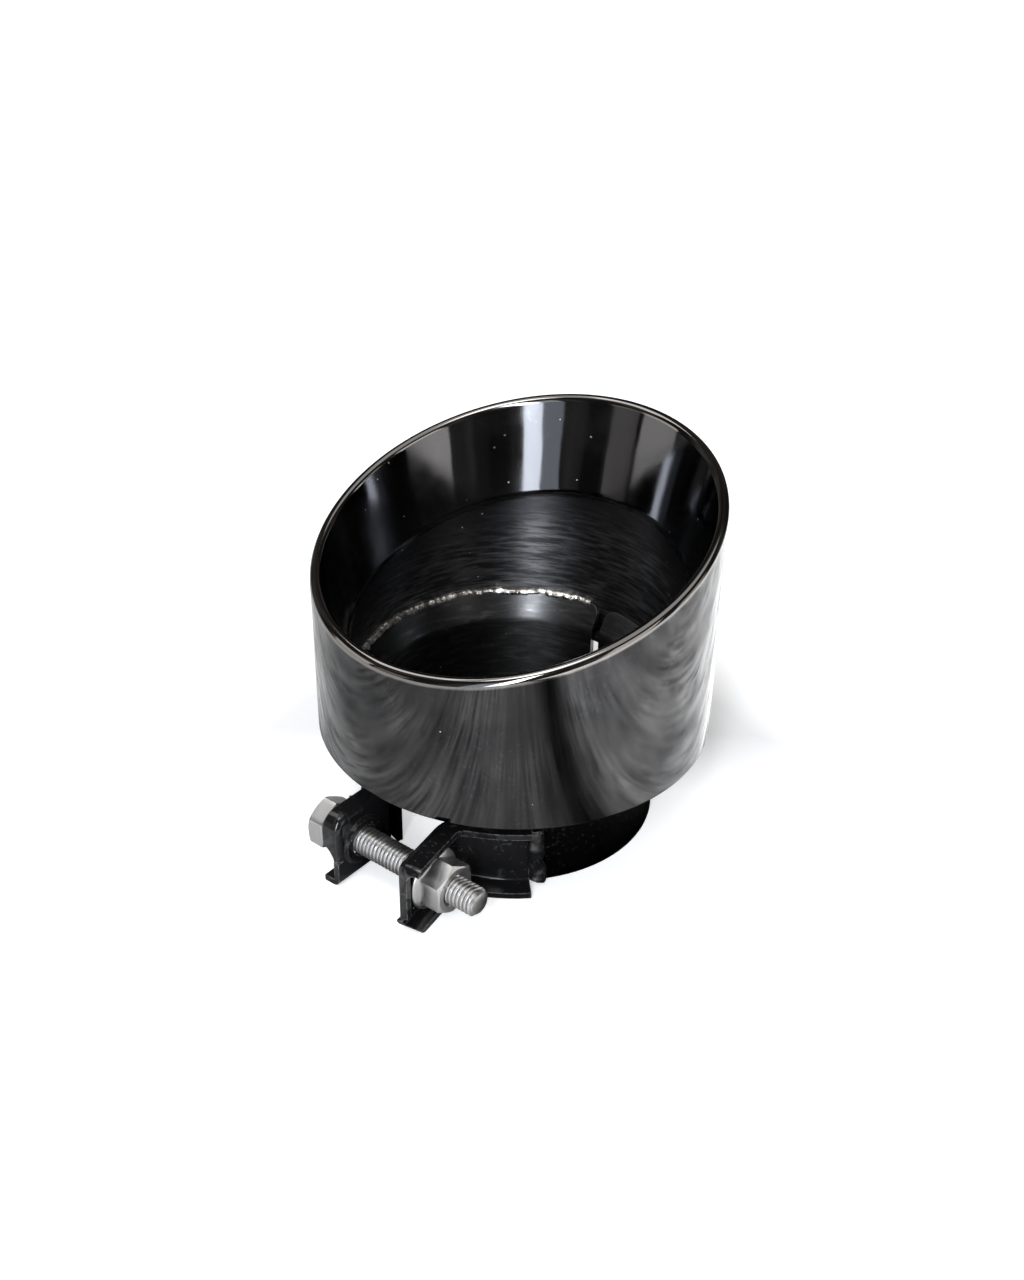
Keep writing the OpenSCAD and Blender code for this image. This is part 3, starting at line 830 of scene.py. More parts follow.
def softened(name, node, edge, end_round=0.0):
    """A merged copy of a solid, its flat faces made whole and its edges rounded."""
    work = bmesh.new()
    work.from_mesh(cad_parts[node].data)
    bmesh.ops.remove_doubles(work, verts=work.verts, dist=5 * TINY)
    bmesh.ops.dissolve_limit(work, angle_limit=radians(1.0), verts=work.verts, edges=work.edges)
    if end_round > 0:
        round_off(work, end_round)
    bmesh.ops.recalc_face_normals(work, faces=work.faces)
    piece = link(name, mesh_of(name, work))
    round_edges(piece, edge, 38)
    return piece


# Finishes

def new_finish(name, roughness=0.3, metallic=1.0):
    """A material with its surface shader, and the object's own coordinates."""
    material = bpy.data.materials.new(name)
    material.use_nodes = True
    tree = material.node_tree
    surface = tree.nodes["Principled BSDF"]
    surface.inputs["Metallic"].default_value = metallic
    surface.inputs["Roughness"].default_value = roughness
    place = put(tree, "ShaderNodeTexCoord").outputs["Object"]
    return material, tree, surface, place


def stretched(tree, place, scale, turn=(0.0, 0.0, 0.0)):
    """Coordinates turned and stretched for a pattern that runs along one way."""
    return put(tree, "ShaderNodeMapping", {"Vector": place, "Scale": scale, "Rotation": turn}).outputs[0]


def size_of(tree, place):
    """Length of a vector."""
    return put(tree, "ShaderNodeVectorMath", {0: place}, operation="LENGTH").outputs["Value"]


def along_way(tree, place, way):
    """How far a place lies along a direction."""
    return put(tree, "ShaderNodeVectorMath", {0: place, 1: way}, operation="DOT_PRODUCT").outputs["Value"]


def noise_of(tree, place, scale, detail=3.0, distortion=0.0, roughness=0.5):
    return put(tree, "ShaderNodeTexNoise", {"Vector": place, "Scale": scale, "Detail": detail,
                                            "Distortion": distortion, "Roughness": roughness}).outputs[0]


def spread(tree, value, low, high, to_low=0.0, to_high=1.0):
    """A value range stretched onto another, held at its ends."""
    return put(tree, "ShaderNodeMapRange", {0: value, 1: low, 2: high, 3: to_low, 4: to_high}).outputs[0]


def blend(tree, share, first, second):
    """A colour between two."""
    made = put(tree, "ShaderNodeMix", {"Factor": share}, data_type="RGBA")
    for key, value in ((6, first), (7, second)):
        is_socket = isinstance(value, bpy.types.NodeSocket)
        give(tree, made.inputs[key], value if is_socket else tuple(value) + (1.0,))
    return made.outputs[2]


@built_once("Fine scratches")
def scratches_group(name):
    """Shader group of fine straight scratches that cross each other in patches."""
    tree, given, result = new_tree(name, "ShaderNodeTree",
                                   [("Place", VECTOR, None), ("Fineness", FLOAT, 900.0),
                                    ("Reach", FLOAT, 0.08), ("Amount", FLOAT, 0.5)],
                                   [("Mark", FLOAT, None)])
    marks = None
    for number, turn in enumerate(((0.5, 0.4, 0.2), (-0.7, 0.2, 1.3), (1.2, -0.5, 2.4))):
        along = put(tree, "ShaderNodeMapping", {"Vector": given["Place"], "Rotation": turn,
                                                "Location": (number * 0.31, 0.0, 0.0)})
        scale = put(tree, "ShaderNodeCombineXYZ", {"X": given["Reach"], "Y": 1.0, "Z": 1.0})
        line = vector(tree, "MULTIPLY", along.outputs[0], scale.outputs[0])
        field = put(tree, "ShaderNodeTexNoise", {"Vector": line, "Scale": given["Fineness"],
                                                 "Detail": 1.0}).outputs[0]
        streak = spread(tree, field, 0.66, 0.74)
        marks = streak if marks is None else larger(tree, marks, streak)
    patch = spread(tree, noise_of(tree, given["Place"], 45.0, 2.0), 0.42, 0.62)
    tree.links.new(times(tree, times(tree, marks, patch), given["Amount"]), result["Mark"])
    return tree


@built_once("Dust specks")
def dust_group(name):
    """Shader group of scattered specks."""
    tree, given, result = new_tree(name, "ShaderNodeTree",
                                   [("Place", VECTOR, None), ("Spacing", FLOAT, 450.0),
                                    ("Share", FLOAT, 0.06), ("Size", FLOAT, 0.16)],
                                   [("Speck", FLOAT, None)])
    cells = put(tree, "ShaderNodeTexVoronoi", {"Vector": given["Place"], "Scale": given["Spacing"]})
    chance = put(tree, "ShaderNodeSeparateColor", {0: cells.outputs["Color"]}).outputs
    gathered = spread(tree, noise_of(tree, given["Place"], 60.0, 1.0), 0.45, 0.65, 0.25, 1.6)
    chosen = work_out(tree, "LESS_THAN", chance[0], times(tree, given["Share"], gathered))
    reach = times(tree, given["Size"], plus(tree, chance[1], 0.35))
    speck = work_out(tree, "LESS_THAN", cells.outputs["Distance"], reach)
    tree.links.new(times(tree, speck, chosen), result["Speck"])
    return tree


@built_once("Brush lines")
def brushing_group(name):
    """Shader group of brush lines that run round the tip's axis."""
    tree, given, result = new_tree(name, "ShaderNodeTree",
                                   [("Place", VECTOR, None), ("Fineness", FLOAT, 2600.0),
                                    ("Length", FLOAT, 110.0)],
                                   [("Line", FLOAT, None), ("Rub", FLOAT, None)])
    scale = put(tree, "ShaderNodeCombineXYZ", {"X": given["Length"], "Y": given["Length"],
                                               "Z": given["Fineness"]})
    lines = vector(tree, "MULTIPLY", given["Place"], scale.outputs[0])
    fine = noise_of(tree, lines, 1.0, 4.0, 0.0, 0.65)
    tree.links.new(fine, result["Line"])
    wide = vector(tree, "MULTIPLY", lines, (1.0, 1.0, 0.4))
    rub = noise_of(tree, wide, 1.0, 3.0, 0.4, 0.6)
    tree.links.new(rub, result["Rub"])
    return tree


@built_once("Worn edges")
def worn_edge_group(name):
    """Shader group that finds worn edges: corners, broken up by noise."""
    tree, given, result = new_tree(name, "ShaderNodeTree",
                                   [("Place", VECTOR, None), ("Grain", FLOAT, 700.0), ("Wear", FLOAT, 0.5)],
                                   [("Edge", FLOAT, None)])
    corner = put(tree, "ShaderNodeBevel", {"Radius": 0.0006}, samples=6).outputs[0]
    plain = put(tree, "ShaderNodeNewGeometry").outputs["Normal"]
    same = along_way(tree, corner, plain)
    sharp = spread(tree, same, 0.985, 0.80)
    broken = noise_of(tree, given["Place"], given["Grain"], 4.0)
    worn = times(tree, sharp, spread(tree, broken, 0.62, 0.42))
    tree.links.new(times(tree, worn, given["Wear"], clamp=True), result["Edge"])
    return tree


@built_once("Depth below the rim")
def depth_group(name):
    """Shader group that gives the distance of a place below the slanted rim."""
    tree, given, result = new_tree(name, "ShaderNodeTree", [("Place", VECTOR, None)],
                                   [("Depth", FLOAT, None)])
    spot = split(tree, given["Place"])
    rise = work_out(tree, "MULTIPLY_ADD", spot["X"], RISE_X, RIM_FOOT_Z)
    rise = work_out(tree, "MULTIPLY_ADD", spot["Y"], RISE_Y, rise)
    tree.links.new(minus(tree, rise, spot["Z"]), result["Depth"])
    return tree


def use_group(tree, group, **inputs):
    return put(tree, "ShaderNodeGroup", inputs, node_tree=group).outputs


def rim_depth(tree, place):
    return use_group(tree, depth_group(), Place=place)["Depth"]


def scratches(tree, place, amount, fineness=900.0):
    return use_group(tree, scratches_group(), Place=place, Amount=amount, Fineness=fineness)["Mark"]


def specks(tree, place, share, size, spacing=620.0):
    return use_group(tree, dust_group(), Place=place, Share=share, Size=size, Spacing=spacing)["Speck"]


def worn_edges(tree, place, wear):
    return use_group(tree, worn_edge_group(), Place=place, Wear=wear)["Edge"]


def dusted(tree, colours, colour, rough, speck):
    """A colour and a roughness under specks of dull dust."""
    return blend(tree, speck, colour, colours.dust), larger(tree, rough, times(tree, speck, 0.8))


def ray_kinds(tree):
    """Whether a ray comes from the camera, and whether it comes off something shiny."""
    path = put(tree, "ShaderNodeLightPath").outputs
    return path["Is Camera Ray"], larger(tree, path["Is Glossy Ray"], path["Is Transmission Ray"])


def wire(tree, surface, colour, roughness, height, distance, strength, metallic=None):
    """Joins patterns to a surface shader. The height goes through a Bump node."""
    bump = put(tree, "ShaderNodeBump", {"Height": height, "Distance": distance, "Strength": strength})
    for key, value in (("Base Color", colour), ("Roughness", roughness), ("Metallic", metallic),
                       ("Normal", bump.outputs[0])):
        if value is not None:
            tree.links.new(value, surface.inputs[key])


def shell_finish(colours):
    """Polished black chrome, bare at the rolled rim."""
    material, tree, surface, place = new_finish("Black chrome, polished")
    depth = rim_depth(tree, place)
    cloud = spread(tree, noise_of(tree, place, 38.0, 3.0, 0.4), 0.35, 0.68)
    colour = blend(tree, cloud, colours.chrome_dark, colours.chrome_light)
    colour = blend(tree, spread(tree, depth, 0.0006, 0.0), colour, colours.rim)
    marks = scratches(tree, place, 0.4)
    colour = blend(tree, times(tree, marks, 0.10), colour, colours.bare)
    smudge = spread(tree, noise_of(tree, place, 70.0, 4.0), 0.35, 0.7, 0.05, 0.13)
    colour, rough = dusted(tree, colours, colour, smudge, specks(tree, place, 0.010, 0.10, 450.0))
    ripple = noise_of(tree, place, 55.0, 2.0)
    wire(tree, surface, colour, rough, ripple, distance=0.0006, strength=0.05)
    return material


def brushed_round(tree, surface, amount):
    """Stretches the surface's highlights along the axis, across brush lines that run round it."""
    way = put(tree, "ShaderNodeCombineXYZ", {"Z": 1.0}).outputs[0]
    tree.links.new(way, surface.inputs["Tangent"])
    surface.inputs["Anisotropic"].default_value = amount


def sleeve_finish(colours):
    """Black chrome, mirror-bright in the funnel and brushed below it."""
    material, tree, surface, place = new_finish("Black chrome, funnel and sleeve")
    brushed_round(tree, surface, 0.85)
    depth = rim_depth(tree, place)
    below = spread(tree, depth, *BRUSHED_DEPTH)
    lines = use_group(tree, brushing_group(), Place=place)
    rubbed = times(tree, spread(tree, lines["Rub"], 0.40, 0.66), spread(tree, depth, *RUBBED_DEPTH))
    plain = blend(tree, below, colours.sleeve, colours.sleeve_brushed)
    metal = blend(tree, times(tree, rubbed, below), plain, colours.sleeve_rubbed)
    marks = scratches(tree, place, 0.7)
    metal = blend(tree, times(tree, marks, 0.10), metal, colours.bare)
    mirror = spread(tree, noise_of(tree, place, 60.0, 3.0), 0.35, 0.7, 0.06, 0.15)
    brushed = spread(tree, lines["Line"], 0.3, 0.7, 0.33, 0.46)
    rough = plus(tree, times(tree, brushed, below), times(tree, mirror, minus(tree, 1.0, below)))
    colour, rough = dusted(tree, colours, metal, rough, specks(tree, place, 0.06, 0.13))
    ripple = noise_of(tree, place, 40.0, 2.0)
    fine = times(tree, lines["Line"], work_out(tree, "MULTIPLY_ADD", below, 0.30, 0.03))
    height = plus(tree, times(tree, ripple, 1.2), fine)
    wire(tree, surface, colour, rough, height, distance=0.0006, strength=0.25)
    return material


def collar_finish(colours, name="Blackened collar", shade=1.0):
    """Blackened sheet with brush lines round it."""
    material, tree, surface, place = new_finish(name)
    brushed_round(tree, surface, 0.8)
    lines = use_group(tree, brushing_group(), Place=place, Fineness=2000.0)
    # shade darkens every colour of the finish; the end ring's copy at 0.8 is painted shade
    dark = tuple(v * shade for v in colours.collar)
    pale = tuple(v * shade for v in colours.sleeve_rubbed)
    metal = blend(tree, spread(tree, lines["Rub"], 0.5, 0.8), dark, pale)
    # Outside, below the shell, the sheet is painted black like the lugs
    reach = size_of(tree, vector(tree, "MULTIPLY", place, (1.0, 1.0, 0.0)))
    height = split(tree, place)["Z"]
    outside = times(tree, spread(tree, reach, *PAINTED_R),
                    spread(tree, height, SHELL_FOOT_Z + 0.002, SHELL_FOOT_Z))
    metal = blend(tree, outside, metal, tuple(v * shade for v in colours.paint))
    marks = scratches(tree, place, 0.35)
    edge = worn_edges(tree, place, 0.5)
    metal = blend(tree, larger(tree, times(tree, marks, 0.3), edge), metal, colours.bare)
    rough = spread(tree, lines["Line"], 0.3, 0.7, 0.28, 0.42)
    colour, rough = dusted(tree, colours, metal, rough, specks(tree, place, 0.02, 0.12))
    wire(tree, surface, colour, rough, lines["Line"], distance=0.0002, strength=0.2)
    return material


def paint_finish(colours, name="Gloss black paint", shine=0.28):
    """Gloss black paint over pressed sheet, worn to metal at the edges."""
    material, tree, surface, place = new_finish(name, metallic=0.0)
    surface.inputs["Specular IOR Level"].default_value = shine
    surface.inputs["Coat Weight"].default_value = shine
    surface.inputs["Coat Roughness"].default_value = 0.07
    marks = scratches(tree, place, 0.5, 700.0)
    worn = larger(tree, worn_edges(tree, place, 0.6), times(tree, marks, 0.15))
    colour = blend(tree, worn, colours.paint, colours.bare)
    colour = blend(tree, specks(tree, place, 0.02, 0.12), colour, colours.dust)
    rough = spread(tree, noise_of(tree, place, 220.0, 4.0), 0.35, 0.7, 0.10, 0.24)
    orange_peel = noise_of(tree, place, 800.0, 2.0)
    wire(tree, surface, colour, rough, orange_peel, distance=0.0002, strength=0.07,
         metallic=times(tree, worn, 0.9))
    return material


def weld_finish(colours, name="Bare weld"):
    """Bare weld metal, bright, with patches of soot."""
    material, tree, surface, place = new_finish(name)
    soot = spread(tree, noise_of(tree, place, 420.0, 4.0), 0.50, 0.68)
    colour = blend(tree, soot, colours.weld, colours.grime_and_thread_shade)
    rough = spread(tree, noise_of(tree, place, 1500.0, 3.0), 0.3, 0.7, 0.22, 0.48)
    wire(tree, surface, colour, rough, noise_of(tree, place, 2500.0, 3.0), distance=0.0001, strength=0.4)
    return material


def steel_finish(colours, name="Bare steel"):
    """Zinc-bright steel with fine grain and light stains, and painted shade that darkens the thread's roots.
    """
    material, tree, surface, place = new_finish(name)
    centred = vector(tree, "SUBTRACT", place, (0.0, BOLT_Y, BOLT_Z))
    reach = size_of(tree, vector(tree, "MULTIPLY", centred, (0.0, 1.0, 1.0)))
    # Painted shade in the thread: the deeper a place lies between the crests, the more it takes the dark
    # colour
    root = spread(tree, reach, *THREAD_ROOT_SHADE)
    stained = spread(tree, noise_of(tree, place, 150.0, 3.0), 0.45, 0.75, 0.0, 0.14)
    # The painted shade in the roots and the real stains both darken the steel
    stains_and_root_shade = larger(tree, times(tree, root, 0.35), stained)
    marks = scratches(tree, place, 0.6, 1200.0)
    colour = blend(tree, stains_and_root_shade, colours.steel, colours.grime_and_thread_shade)
    rough = plus(tree, spread(tree, noise_of(tree, place, 260.0, 3.0), 0.35, 0.7, 0.30, 0.42),
                 times(tree, marks, 0.12))
    grain = noise_of(tree, stretched(tree, place, (1.0, 0.12, 0.12)), 1800.0, 2.0)
    wire(tree, surface, colour, rough, grain, distance=0.00005, strength=0.15)
    return material


def floor_finish(colours, stage):
    """Pale floor that shows white to the camera and keeps the tip's shadow. Metal shows it too, with the
    grain of the boards that the tip was photographed on."""
    material, tree, surface, place = new_finish("Pale floor", 0.9, 0.0)
    seen, reflected = ray_kinds(tree)
    across = along_way(tree, place, (cos(stage.azimuth), sin(stage.azimuth), 0.0))
    along = along_way(tree, place, (sin(stage.azimuth), -cos(stage.azimuth), 0.0))
    board = put(tree, "ShaderNodeCombineXYZ", {"X": across, "Y": times(tree, along, 0.06)}).outputs[0]
    # The grain is faint in the middle boards
    faint = spread(tree, work_out(tree, "ABSOLUTE", across), 0.012, 0.055, 0.50, 0.25)
    lines = spread(tree, noise_of(tree, board, 400.0, 6.0, 0.5, 0.62), 0.38, 0.60, faint, 1.0)
    shades = spread(tree, noise_of(tree, board, 45.0, 2.0, 0.3), 0.36, 0.62, 0.65, 1.15)
    # Painted shadow: a soft dark band in the floor's tone for shiny surfaces, right of the tip's axis
    off = work_out(tree, "ABSOLUTE", minus(tree, across, stage.painted_shadow_band))
    dark = spread(tree, off, 0.004, 0.026, 0.12, 1.0)
    pale = spread(tree, across, stage.painted_shadow_band + 0.005, stage.painted_shadow_band + 0.030, 1.0, 2.3)
    away = size_of(tree, place)
    near = spread(tree, away, stage.floor_far, stage.floor_near)
    # Under the tip and inside it the floor lies in the dark
    under = spread(tree, away, SHELL_R - 0.003, SHELL_R + 0.035)
    near = times(tree, near, under)
    tones = times(tree, times(tree, dark, pale), near)
    grain = times(tree, times(tree, lines, shades), tones)
    tone = put(tree, "ShaderNodeCombineColor", {0: grain, 1: grain, 2: grain}).outputs[0]
    tree.links.new(blend(tree, reflected, tuple(colours.floor), tone), surface.inputs["Base Color"])
    # Painted shadow: close behind the tip the floor's glow to the camera is left out, so the floor shows
    # darker there
    beside = larger(tree, spread(tree, away, 0.080, 0.112), spread(tree, along, -0.03, 0.0))
    glow = larger(tree, times(tree, seen, beside), times(tree, reflected, grain))
    tree.links.new(times(tree, glow, stage.floor_glow), surface.inputs["Emission Strength"])
    surface.inputs["Emission Color"].default_value = (1.0, 1.0, 1.0, 1.0)
    surface.inputs["Specular IOR Level"].default_value = 0.1
    return material


def curtain_finish(stage):
    """Dark curtain round the stage, which only shiny surfaces show."""
    material, tree, surface, place = new_finish("Dark curtain", 1.0, 0.0)
    surface.inputs["Base Color"].default_value = (0.0, 0.0, 0.0, 1.0)
    surface.inputs["Specular IOR Level"].default_value = 0.0
    folds = noise_of(tree, stretched(tree, place, (1.0, 1.0, 0.35)), 1.6, 3.0, 0.8)
    shade = spread(tree, folds, 0.50, 0.68, 0.35, 2.0)
    tree.links.new(times(tree, shade, stage.curtain_glow), surface.inputs["Emission Strength"])
    surface.inputs["Emission Color"].default_value = (1.0, 0.96, 0.92, 1.0)
    return material


# Operators

class PieceOperator:
    bl_options = {"REGISTER"}

    @staticmethod
    def settings():
        scene = bpy.context.scene
        return scene.tip_sizes, scene.tip_colours, scene.tip_stage


class TIP_OT_shell(PieceOperator, bpy.types.Operator):
    """Builds the outer shell, cut at a slant, with its rolled rim"""

    bl_idname = "tip.shell"
    bl_label = "Outer shell"

    def execute(self, context):
        sizes, colours, _ = self.settings()
        material = shell_finish(colours)
        dress(turned_wall("shell", shell_section(sizes), material), ["outer_shell"], material)
        return {"FINISHED"}


class TIP_OT_sleeve(PieceOperator, bpy.types.Operator):
    """Builds the inner sleeve with its funnel"""

    bl_idname = "tip.sleeve"
    bl_label = "Funnel and sleeve"

    def execute(self, context):
        sizes, colours, _ = self.settings()
        material = sleeve_finish(colours)
        dress(turned_wall("sleeve", sleeve_section(sizes), material), ["inner_sleeve"], material)
        return {"FINISHED"}


class TIP_OT_end_ring(PieceOperator, bpy.types.Operator):
    """Builds the ring that closes the space between shell and collar"""

    bl_idname = "tip.end_ring"
    bl_label = "End ring"

    def execute(self, context):
        sizes, colours, _ = self.settings()
        # A darker copy of the collar's finish: painted shade on the ring
        material = collar_finish(colours, "Blackened ring in painted shade", shade=0.8)
        dress(turned_wall("end_ring_sheet", ring_section(sizes), material), ["end_ring"], material)
        return {"FINISHED"}


class TIP_OT_collar(PieceOperator, bpy.types.Operator):
    """Builds the split inlet collar"""

    bl_idname = "tip.collar"
    bl_label = "Inlet collar"

    def execute(self, context):
        sizes, colours, _ = self.settings()
        material = collar_finish(colours)
        piece = link("collar", collar_mesh(sizes))
        dress(piece, ["inlet_collar"], material)
        thickness = piece.modifiers.new("Sheet", "SOLIDIFY")
        thickness.thickness = sizes.collar_wall
        thickness.offset = -1.0
        thickness.use_even_offset = True
        round_edges(piece, sizes.sheet_edge, 50)
        return {"FINISHED"}


class TIP_OT_lugs(PieceOperator, bpy.types.Operator):
    """Builds both pressed clamp lugs"""

    bl_idname = "tip.lugs"
    bl_label = "Clamp lugs"

    def execute(self, context):
        sizes, colours, _ = self.settings()
        material = paint_finish(colours)
        for name, node, end_round in (("head_side_lug", "lug_head_side", 0.0),
                                      ("nut_side_lug", "lug_nut_side", sizes.ear_round)):
            dress(softened(name, node, sizes.lug_edge, end_round), [node], material)
        return {"FINISHED"}


class TIP_OT_welds(PieceOperator, bpy.types.Operator):
    """Builds the welds: one on the collar's flare, one at the end of each lug"""

    bl_idname = "tip.welds"
    bl_label = "Welds"

    def execute(self, context):
        sizes, colours, _ = self.settings()
        bare = weld_finish(colours)
        turns = np.degrees(np.arctan2(places("flare_weld")[:, 1], places("flare_weld")[:, 0])) - 90
        turns = np.sort(turns % 360)
        first, last = radians(turns[0] + 90), radians(turns[-1] + 90)
        radius = FLARE_R - FLARE_BEAD_IN * sizes.collar_wall
        height = FLARE_TOP_Z + FLARE_BEAD_UP
        stops = [first + (last - first) * i / 240 for i in range(241)]
        path = path_mesh("flare_path", [(radius * cos(t), radius * sin(t), height) for t in stops])
        piece = grown("flare_bead", path, bead_tree(),
                      {"Bead": sizes.flare_bead, "Pitch": sizes.flare_pitch, "Neck": 0.30, "Unevenness": 1.2,
                       "Wander": 0.0015, "Grain": 700.0, "Seed": 3.0, "Finish": bare})
        dress(piece, ["flare_weld"], bare)
        painted = paint_finish(colours, "Painted weld", shine=0.7)
        for number, (name, node) in enumerate((("head_side_bead", "lug_weld_head_side"),
                                               ("nut_side_bead", "lug_weld_nut_side"))):
            low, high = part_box(node)
            middle = (low + high) / 2
            turn = atan2(middle.y, middle.x)
            radius = PIPE_R + sizes.collar_wall + BEAD_STAND * sizes.weld_bead
            ends = (low.z + BEAD_END * sizes.weld_bead, high.z - BEAD_END * sizes.weld_bead)
            heights = [ends[0] + (ends[1] - ends[0]) * i / 20 for i in range(21)]
            path = path_mesh(name, [(radius * cos(turn), radius * sin(turn), z) for z in heights])
            piece = grown(name, path, bead_tree(),
                          {"Bead": sizes.weld_bead, "Pitch": sizes.weld_pitch, "Neck": 1.0,
                           "Unevenness": 1.5, "Wander": 0.0044, "Grain": 240.0, "Seed": 5.0 + number,
                           "Finish": painted})
            dress(piece, [node], painted)
        return {"FINISHED"}


class TIP_OT_fasteners(PieceOperator, bpy.types.Operator):
    """Builds the bolt with its thread, and the flange nut"""

    bl_idname = "tip.fasteners"
    bl_label = "Bolt and nut"

    def execute(self, context):
        sizes, colours, _ = self.settings()
        steel = steel_finish(colours)
        head_x = BOLT_HIGH.x - sizes.bolt_length
        empty = bpy.data.meshes.new("shank_base")
        shank = grown("bolt_shank", empty, thread_tree(),
                      {"Radius": sizes.bolt_radius, "Pitch": sizes.thread_pitch, "Depth": sizes.thread_depth,
                       "Length": sizes.bolt_length, "Tip": BOLT_CHAMFER, "Round": THREAD_SIDES,
                       "Along": round(sizes.bolt_length / sizes.thread_pitch) * THREAD_CUTS,
                       "Start": (head_x, BOLT_Y, BOLT_Z), "Finish": steel})
        dress(shank, ["clamp_bolt"], steel, 80.0)
        head = link("bolt_head", ring_mesh("bolt_head", hexagon_rows(sizes, BOLT_LOW.x, head_x)))
        dress(head, ["clamp_bolt"], steel, 22.0)
        bore = sizes.bolt_radius + THREAD_ROOM
        body = ring_mesh("nut_body", hexagon_rows(sizes, NUT_HIGH.x, NUT_LOW.x, bore))
        flange = ring_mesh("nut_flange", washer_rows(sizes, bore))
        nut = link("nut", joined("nut", [body, flange]))
        dress(nut, ["flange_nut"], steel, 22.0)
        return {"FINISHED"}


WHITE = (1.0, 1.0, 1.0)
CURTAIN_FOOT_Z = 0.001
CURTAIN_SIDES = 96
# Name, turn and lift in degrees, distance, size, brightness
HIGH_LAMPS = (("overhead", -40.0, 74.0, 1.4, (0.55, 0.45), 5.5),
              ("high_softbox", -115.0, 57.0, 1.3, (0.50, 0.36), 2.4))
# Name, turn in degrees, distance, size, brightness, colour, height of the foot
STANDING_LAMPS = (("window", -14.5, 1.25, (0.23, 1.30), 6.6, (0.86, 0.92, 1.0)),
                  ("window_top", -12.5, 1.25, (0.20, 1.20), 16.0, (0.88, 0.93, 1.0), 0.32),
                  ("window_edge", -25.5, 1.3, (0.26, 1.00), 1.0, (0.82, 0.90, 1.0)),
                  ("left_panel", 46.5, 1.3, (0.62, 1.00), 1.5, (1.0, 0.98, 0.95)),
                  ("side_panel", 84.0, 1.35, (0.45, 0.6), 0.9, (1.0, 0.94, 0.88)),
                  ("right_panel", -89.0, 1.3, (0.52, 0.6), 1.2, (1.0, 0.97, 0.93)),
                  ("right_shade", -67.0, 1.3, (0.36, 0.6), 0.32, (1.0, 0.95, 0.90)))


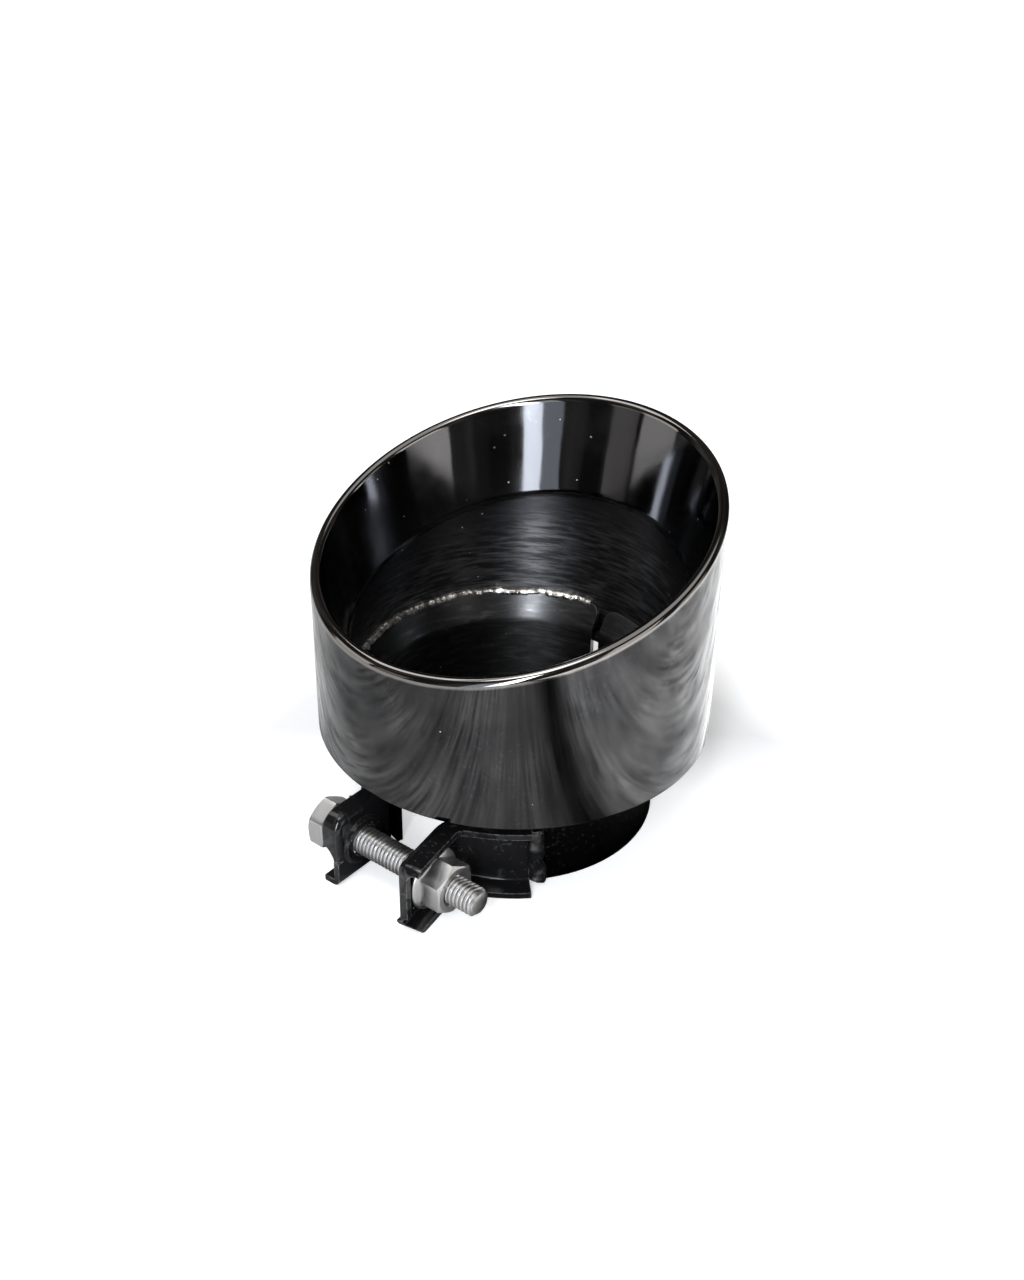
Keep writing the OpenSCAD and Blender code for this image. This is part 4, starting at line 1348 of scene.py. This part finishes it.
class TIP_OT_stage(PieceOperator, bpy.types.Operator):
    """Builds the pale floor, the soft lamps and the camera"""

    bl_idname = "tip.stage"
    bl_label = "Stage"

    def standing_lamp(self, name, turn, distance, size, radiance, colour=WHITE, foot=0.002):
        """An upright soft lamp, whose foot is that far above the floor."""
        made = self.lamp(name, turn, 0.0, distance, size, radiance, colour)
        made.location.z = foot + size[1] / 2

    def lamp(self, name, turn, lift, distance, size, radiance, colour=WHITE):
        """A soft rectangular lamp aimed at the tip. turn is from the camera's direction towards its right."""
        _, _, stage = self.settings()
        azimuth = stage.azimuth + radians(turn)
        lift = radians(lift)
        middle = Vector((0.0, 0.0, (SHELL_FOOT_Z + RIM_FOOT_Z) / 2))
        way = Vector((sin(azimuth) * cos(lift), -cos(azimuth) * cos(lift), sin(lift)))
        light = bpy.data.lights.new(name, "AREA")
        light.shape = "RECTANGLE"
        light.size, light.size_y = size
        # An area lamp's power for a brightness, which is then the same at any size
        light.energy = radiance * pi * size[0] * size[1]
        light.color = colour
        lamp = link(name, light)
        lamp.location = middle + way * distance
        lamp.rotation_euler = way.to_track_quat("Z", "Y").to_euler()
        lamp.visible_camera = False
        return lamp

    def execute(self, context):
        _, colours, stage = self.settings()
        scene = bpy.context.scene
        half = stage.floor_width / 2
        mesh = bpy.data.meshes.new("floor")
        mesh.from_pydata([(-half, -half, 0.0), (half, -half, 0.0), (half, half, 0.0), (-half, half, 0.0)], [],
                         [(0, 1, 2, 3)])
        mesh.materials.append(floor_finish(colours, stage))
        link("floor", mesh)

        world = bpy.data.worlds.new("Studio")
        world.use_nodes = True
        scene.world = world
        tree = world.node_tree
        seen = larger(tree, *ray_kinds(tree))
        tree.links.new(work_out(tree, "MULTIPLY_ADD", seen, 1.0 - stage.room, stage.room),
                       tree.nodes["Background"].inputs["Strength"])
        tree.nodes["Background"].inputs["Color"].default_value = (1.0, 1.0, 1.0, 1.0)

        count = CURTAIN_SIDES
        turns = [2 * pi * i / count for i in range(count)]
        ring = [(stage.curtain_radius * cos(t), stage.curtain_radius * sin(t)) for t in turns]
        mesh = bpy.data.meshes.new("curtain")
        mesh.from_pydata([(x, y, z) for z in (CURTAIN_FOOT_Z, stage.curtain_height) for x, y in ring], [],
                         [((i + 1) % count, i, i + count, (i + 1) % count + count) for i in range(count)])
        mesh.materials.append(curtain_finish(stage))
        curtain = link("curtain", mesh)
        curtain.visible_camera = curtain.visible_diffuse = curtain.visible_shadow = False

        for high_lamp in HIGH_LAMPS:
            self.lamp(*high_lamp)
        for standing_lamp in STANDING_LAMPS:
            self.standing_lamp(*standing_lamp)

        camera_data = bpy.data.cameras.new("camera")
        camera_data.lens = stage.lens
        camera_data.sensor_width = 36.0
        camera_data.clip_start = 0.01
        camera = link("camera", camera_data)
        camera.location = stage.place
        turn = Euler((pi / 2 - stage.elevation, 0.0, stage.azimuth)).to_matrix()
        camera.rotation_euler = (turn @ Euler((0.0, 0.0, stage.roll)).to_matrix()).to_euler()
        scene.camera = camera
        view = scene.view_settings
        view.view_transform = "Standard"
        return {"FINISHED"}


OPERATORS = (TIP_OT_shell, TIP_OT_sleeve, TIP_OT_end_ring, TIP_OT_collar, TIP_OT_lugs, TIP_OT_welds,
             TIP_OT_fasteners, TIP_OT_stage)


class TIP_PT_panel(bpy.types.Panel):
    """Lists the steps that build the tip"""

    bl_label = "Exhaust tip"
    bl_idname = "TIP_PT_panel"
    bl_space_type = "VIEW_3D"
    bl_region_type = "UI"
    bl_category = "Exhaust tip"

    def draw(self, context):
        for operator in OPERATORS:
            self.layout.operator(operator.bl_idname)


GROUPS = (TipSizes, TipColours, TipStage)
CLASSES = GROUPS + OPERATORS + (TIP_PT_panel,)


def register():
    for made in CLASSES:
        bpy.utils.register_class(made)
    bpy.types.Scene.tip_sizes = PointerProperty(type=TipSizes)
    bpy.types.Scene.tip_colours = PointerProperty(type=TipColours)
    bpy.types.Scene.tip_stage = PointerProperty(type=TipStage)


def unregister():
    del bpy.types.Scene.tip_stage, bpy.types.Scene.tip_colours, bpy.types.Scene.tip_sizes
    for made in reversed(CLASSES):
        bpy.utils.unregister_class(made)


def main():
    register()
    for operator in OPERATORS:
        family, name = operator.bl_idname.split(".")
        getattr(getattr(bpy.ops, family), name)()
    bpy.context.view_layer.update()


if __name__ == "__main__":
    main()
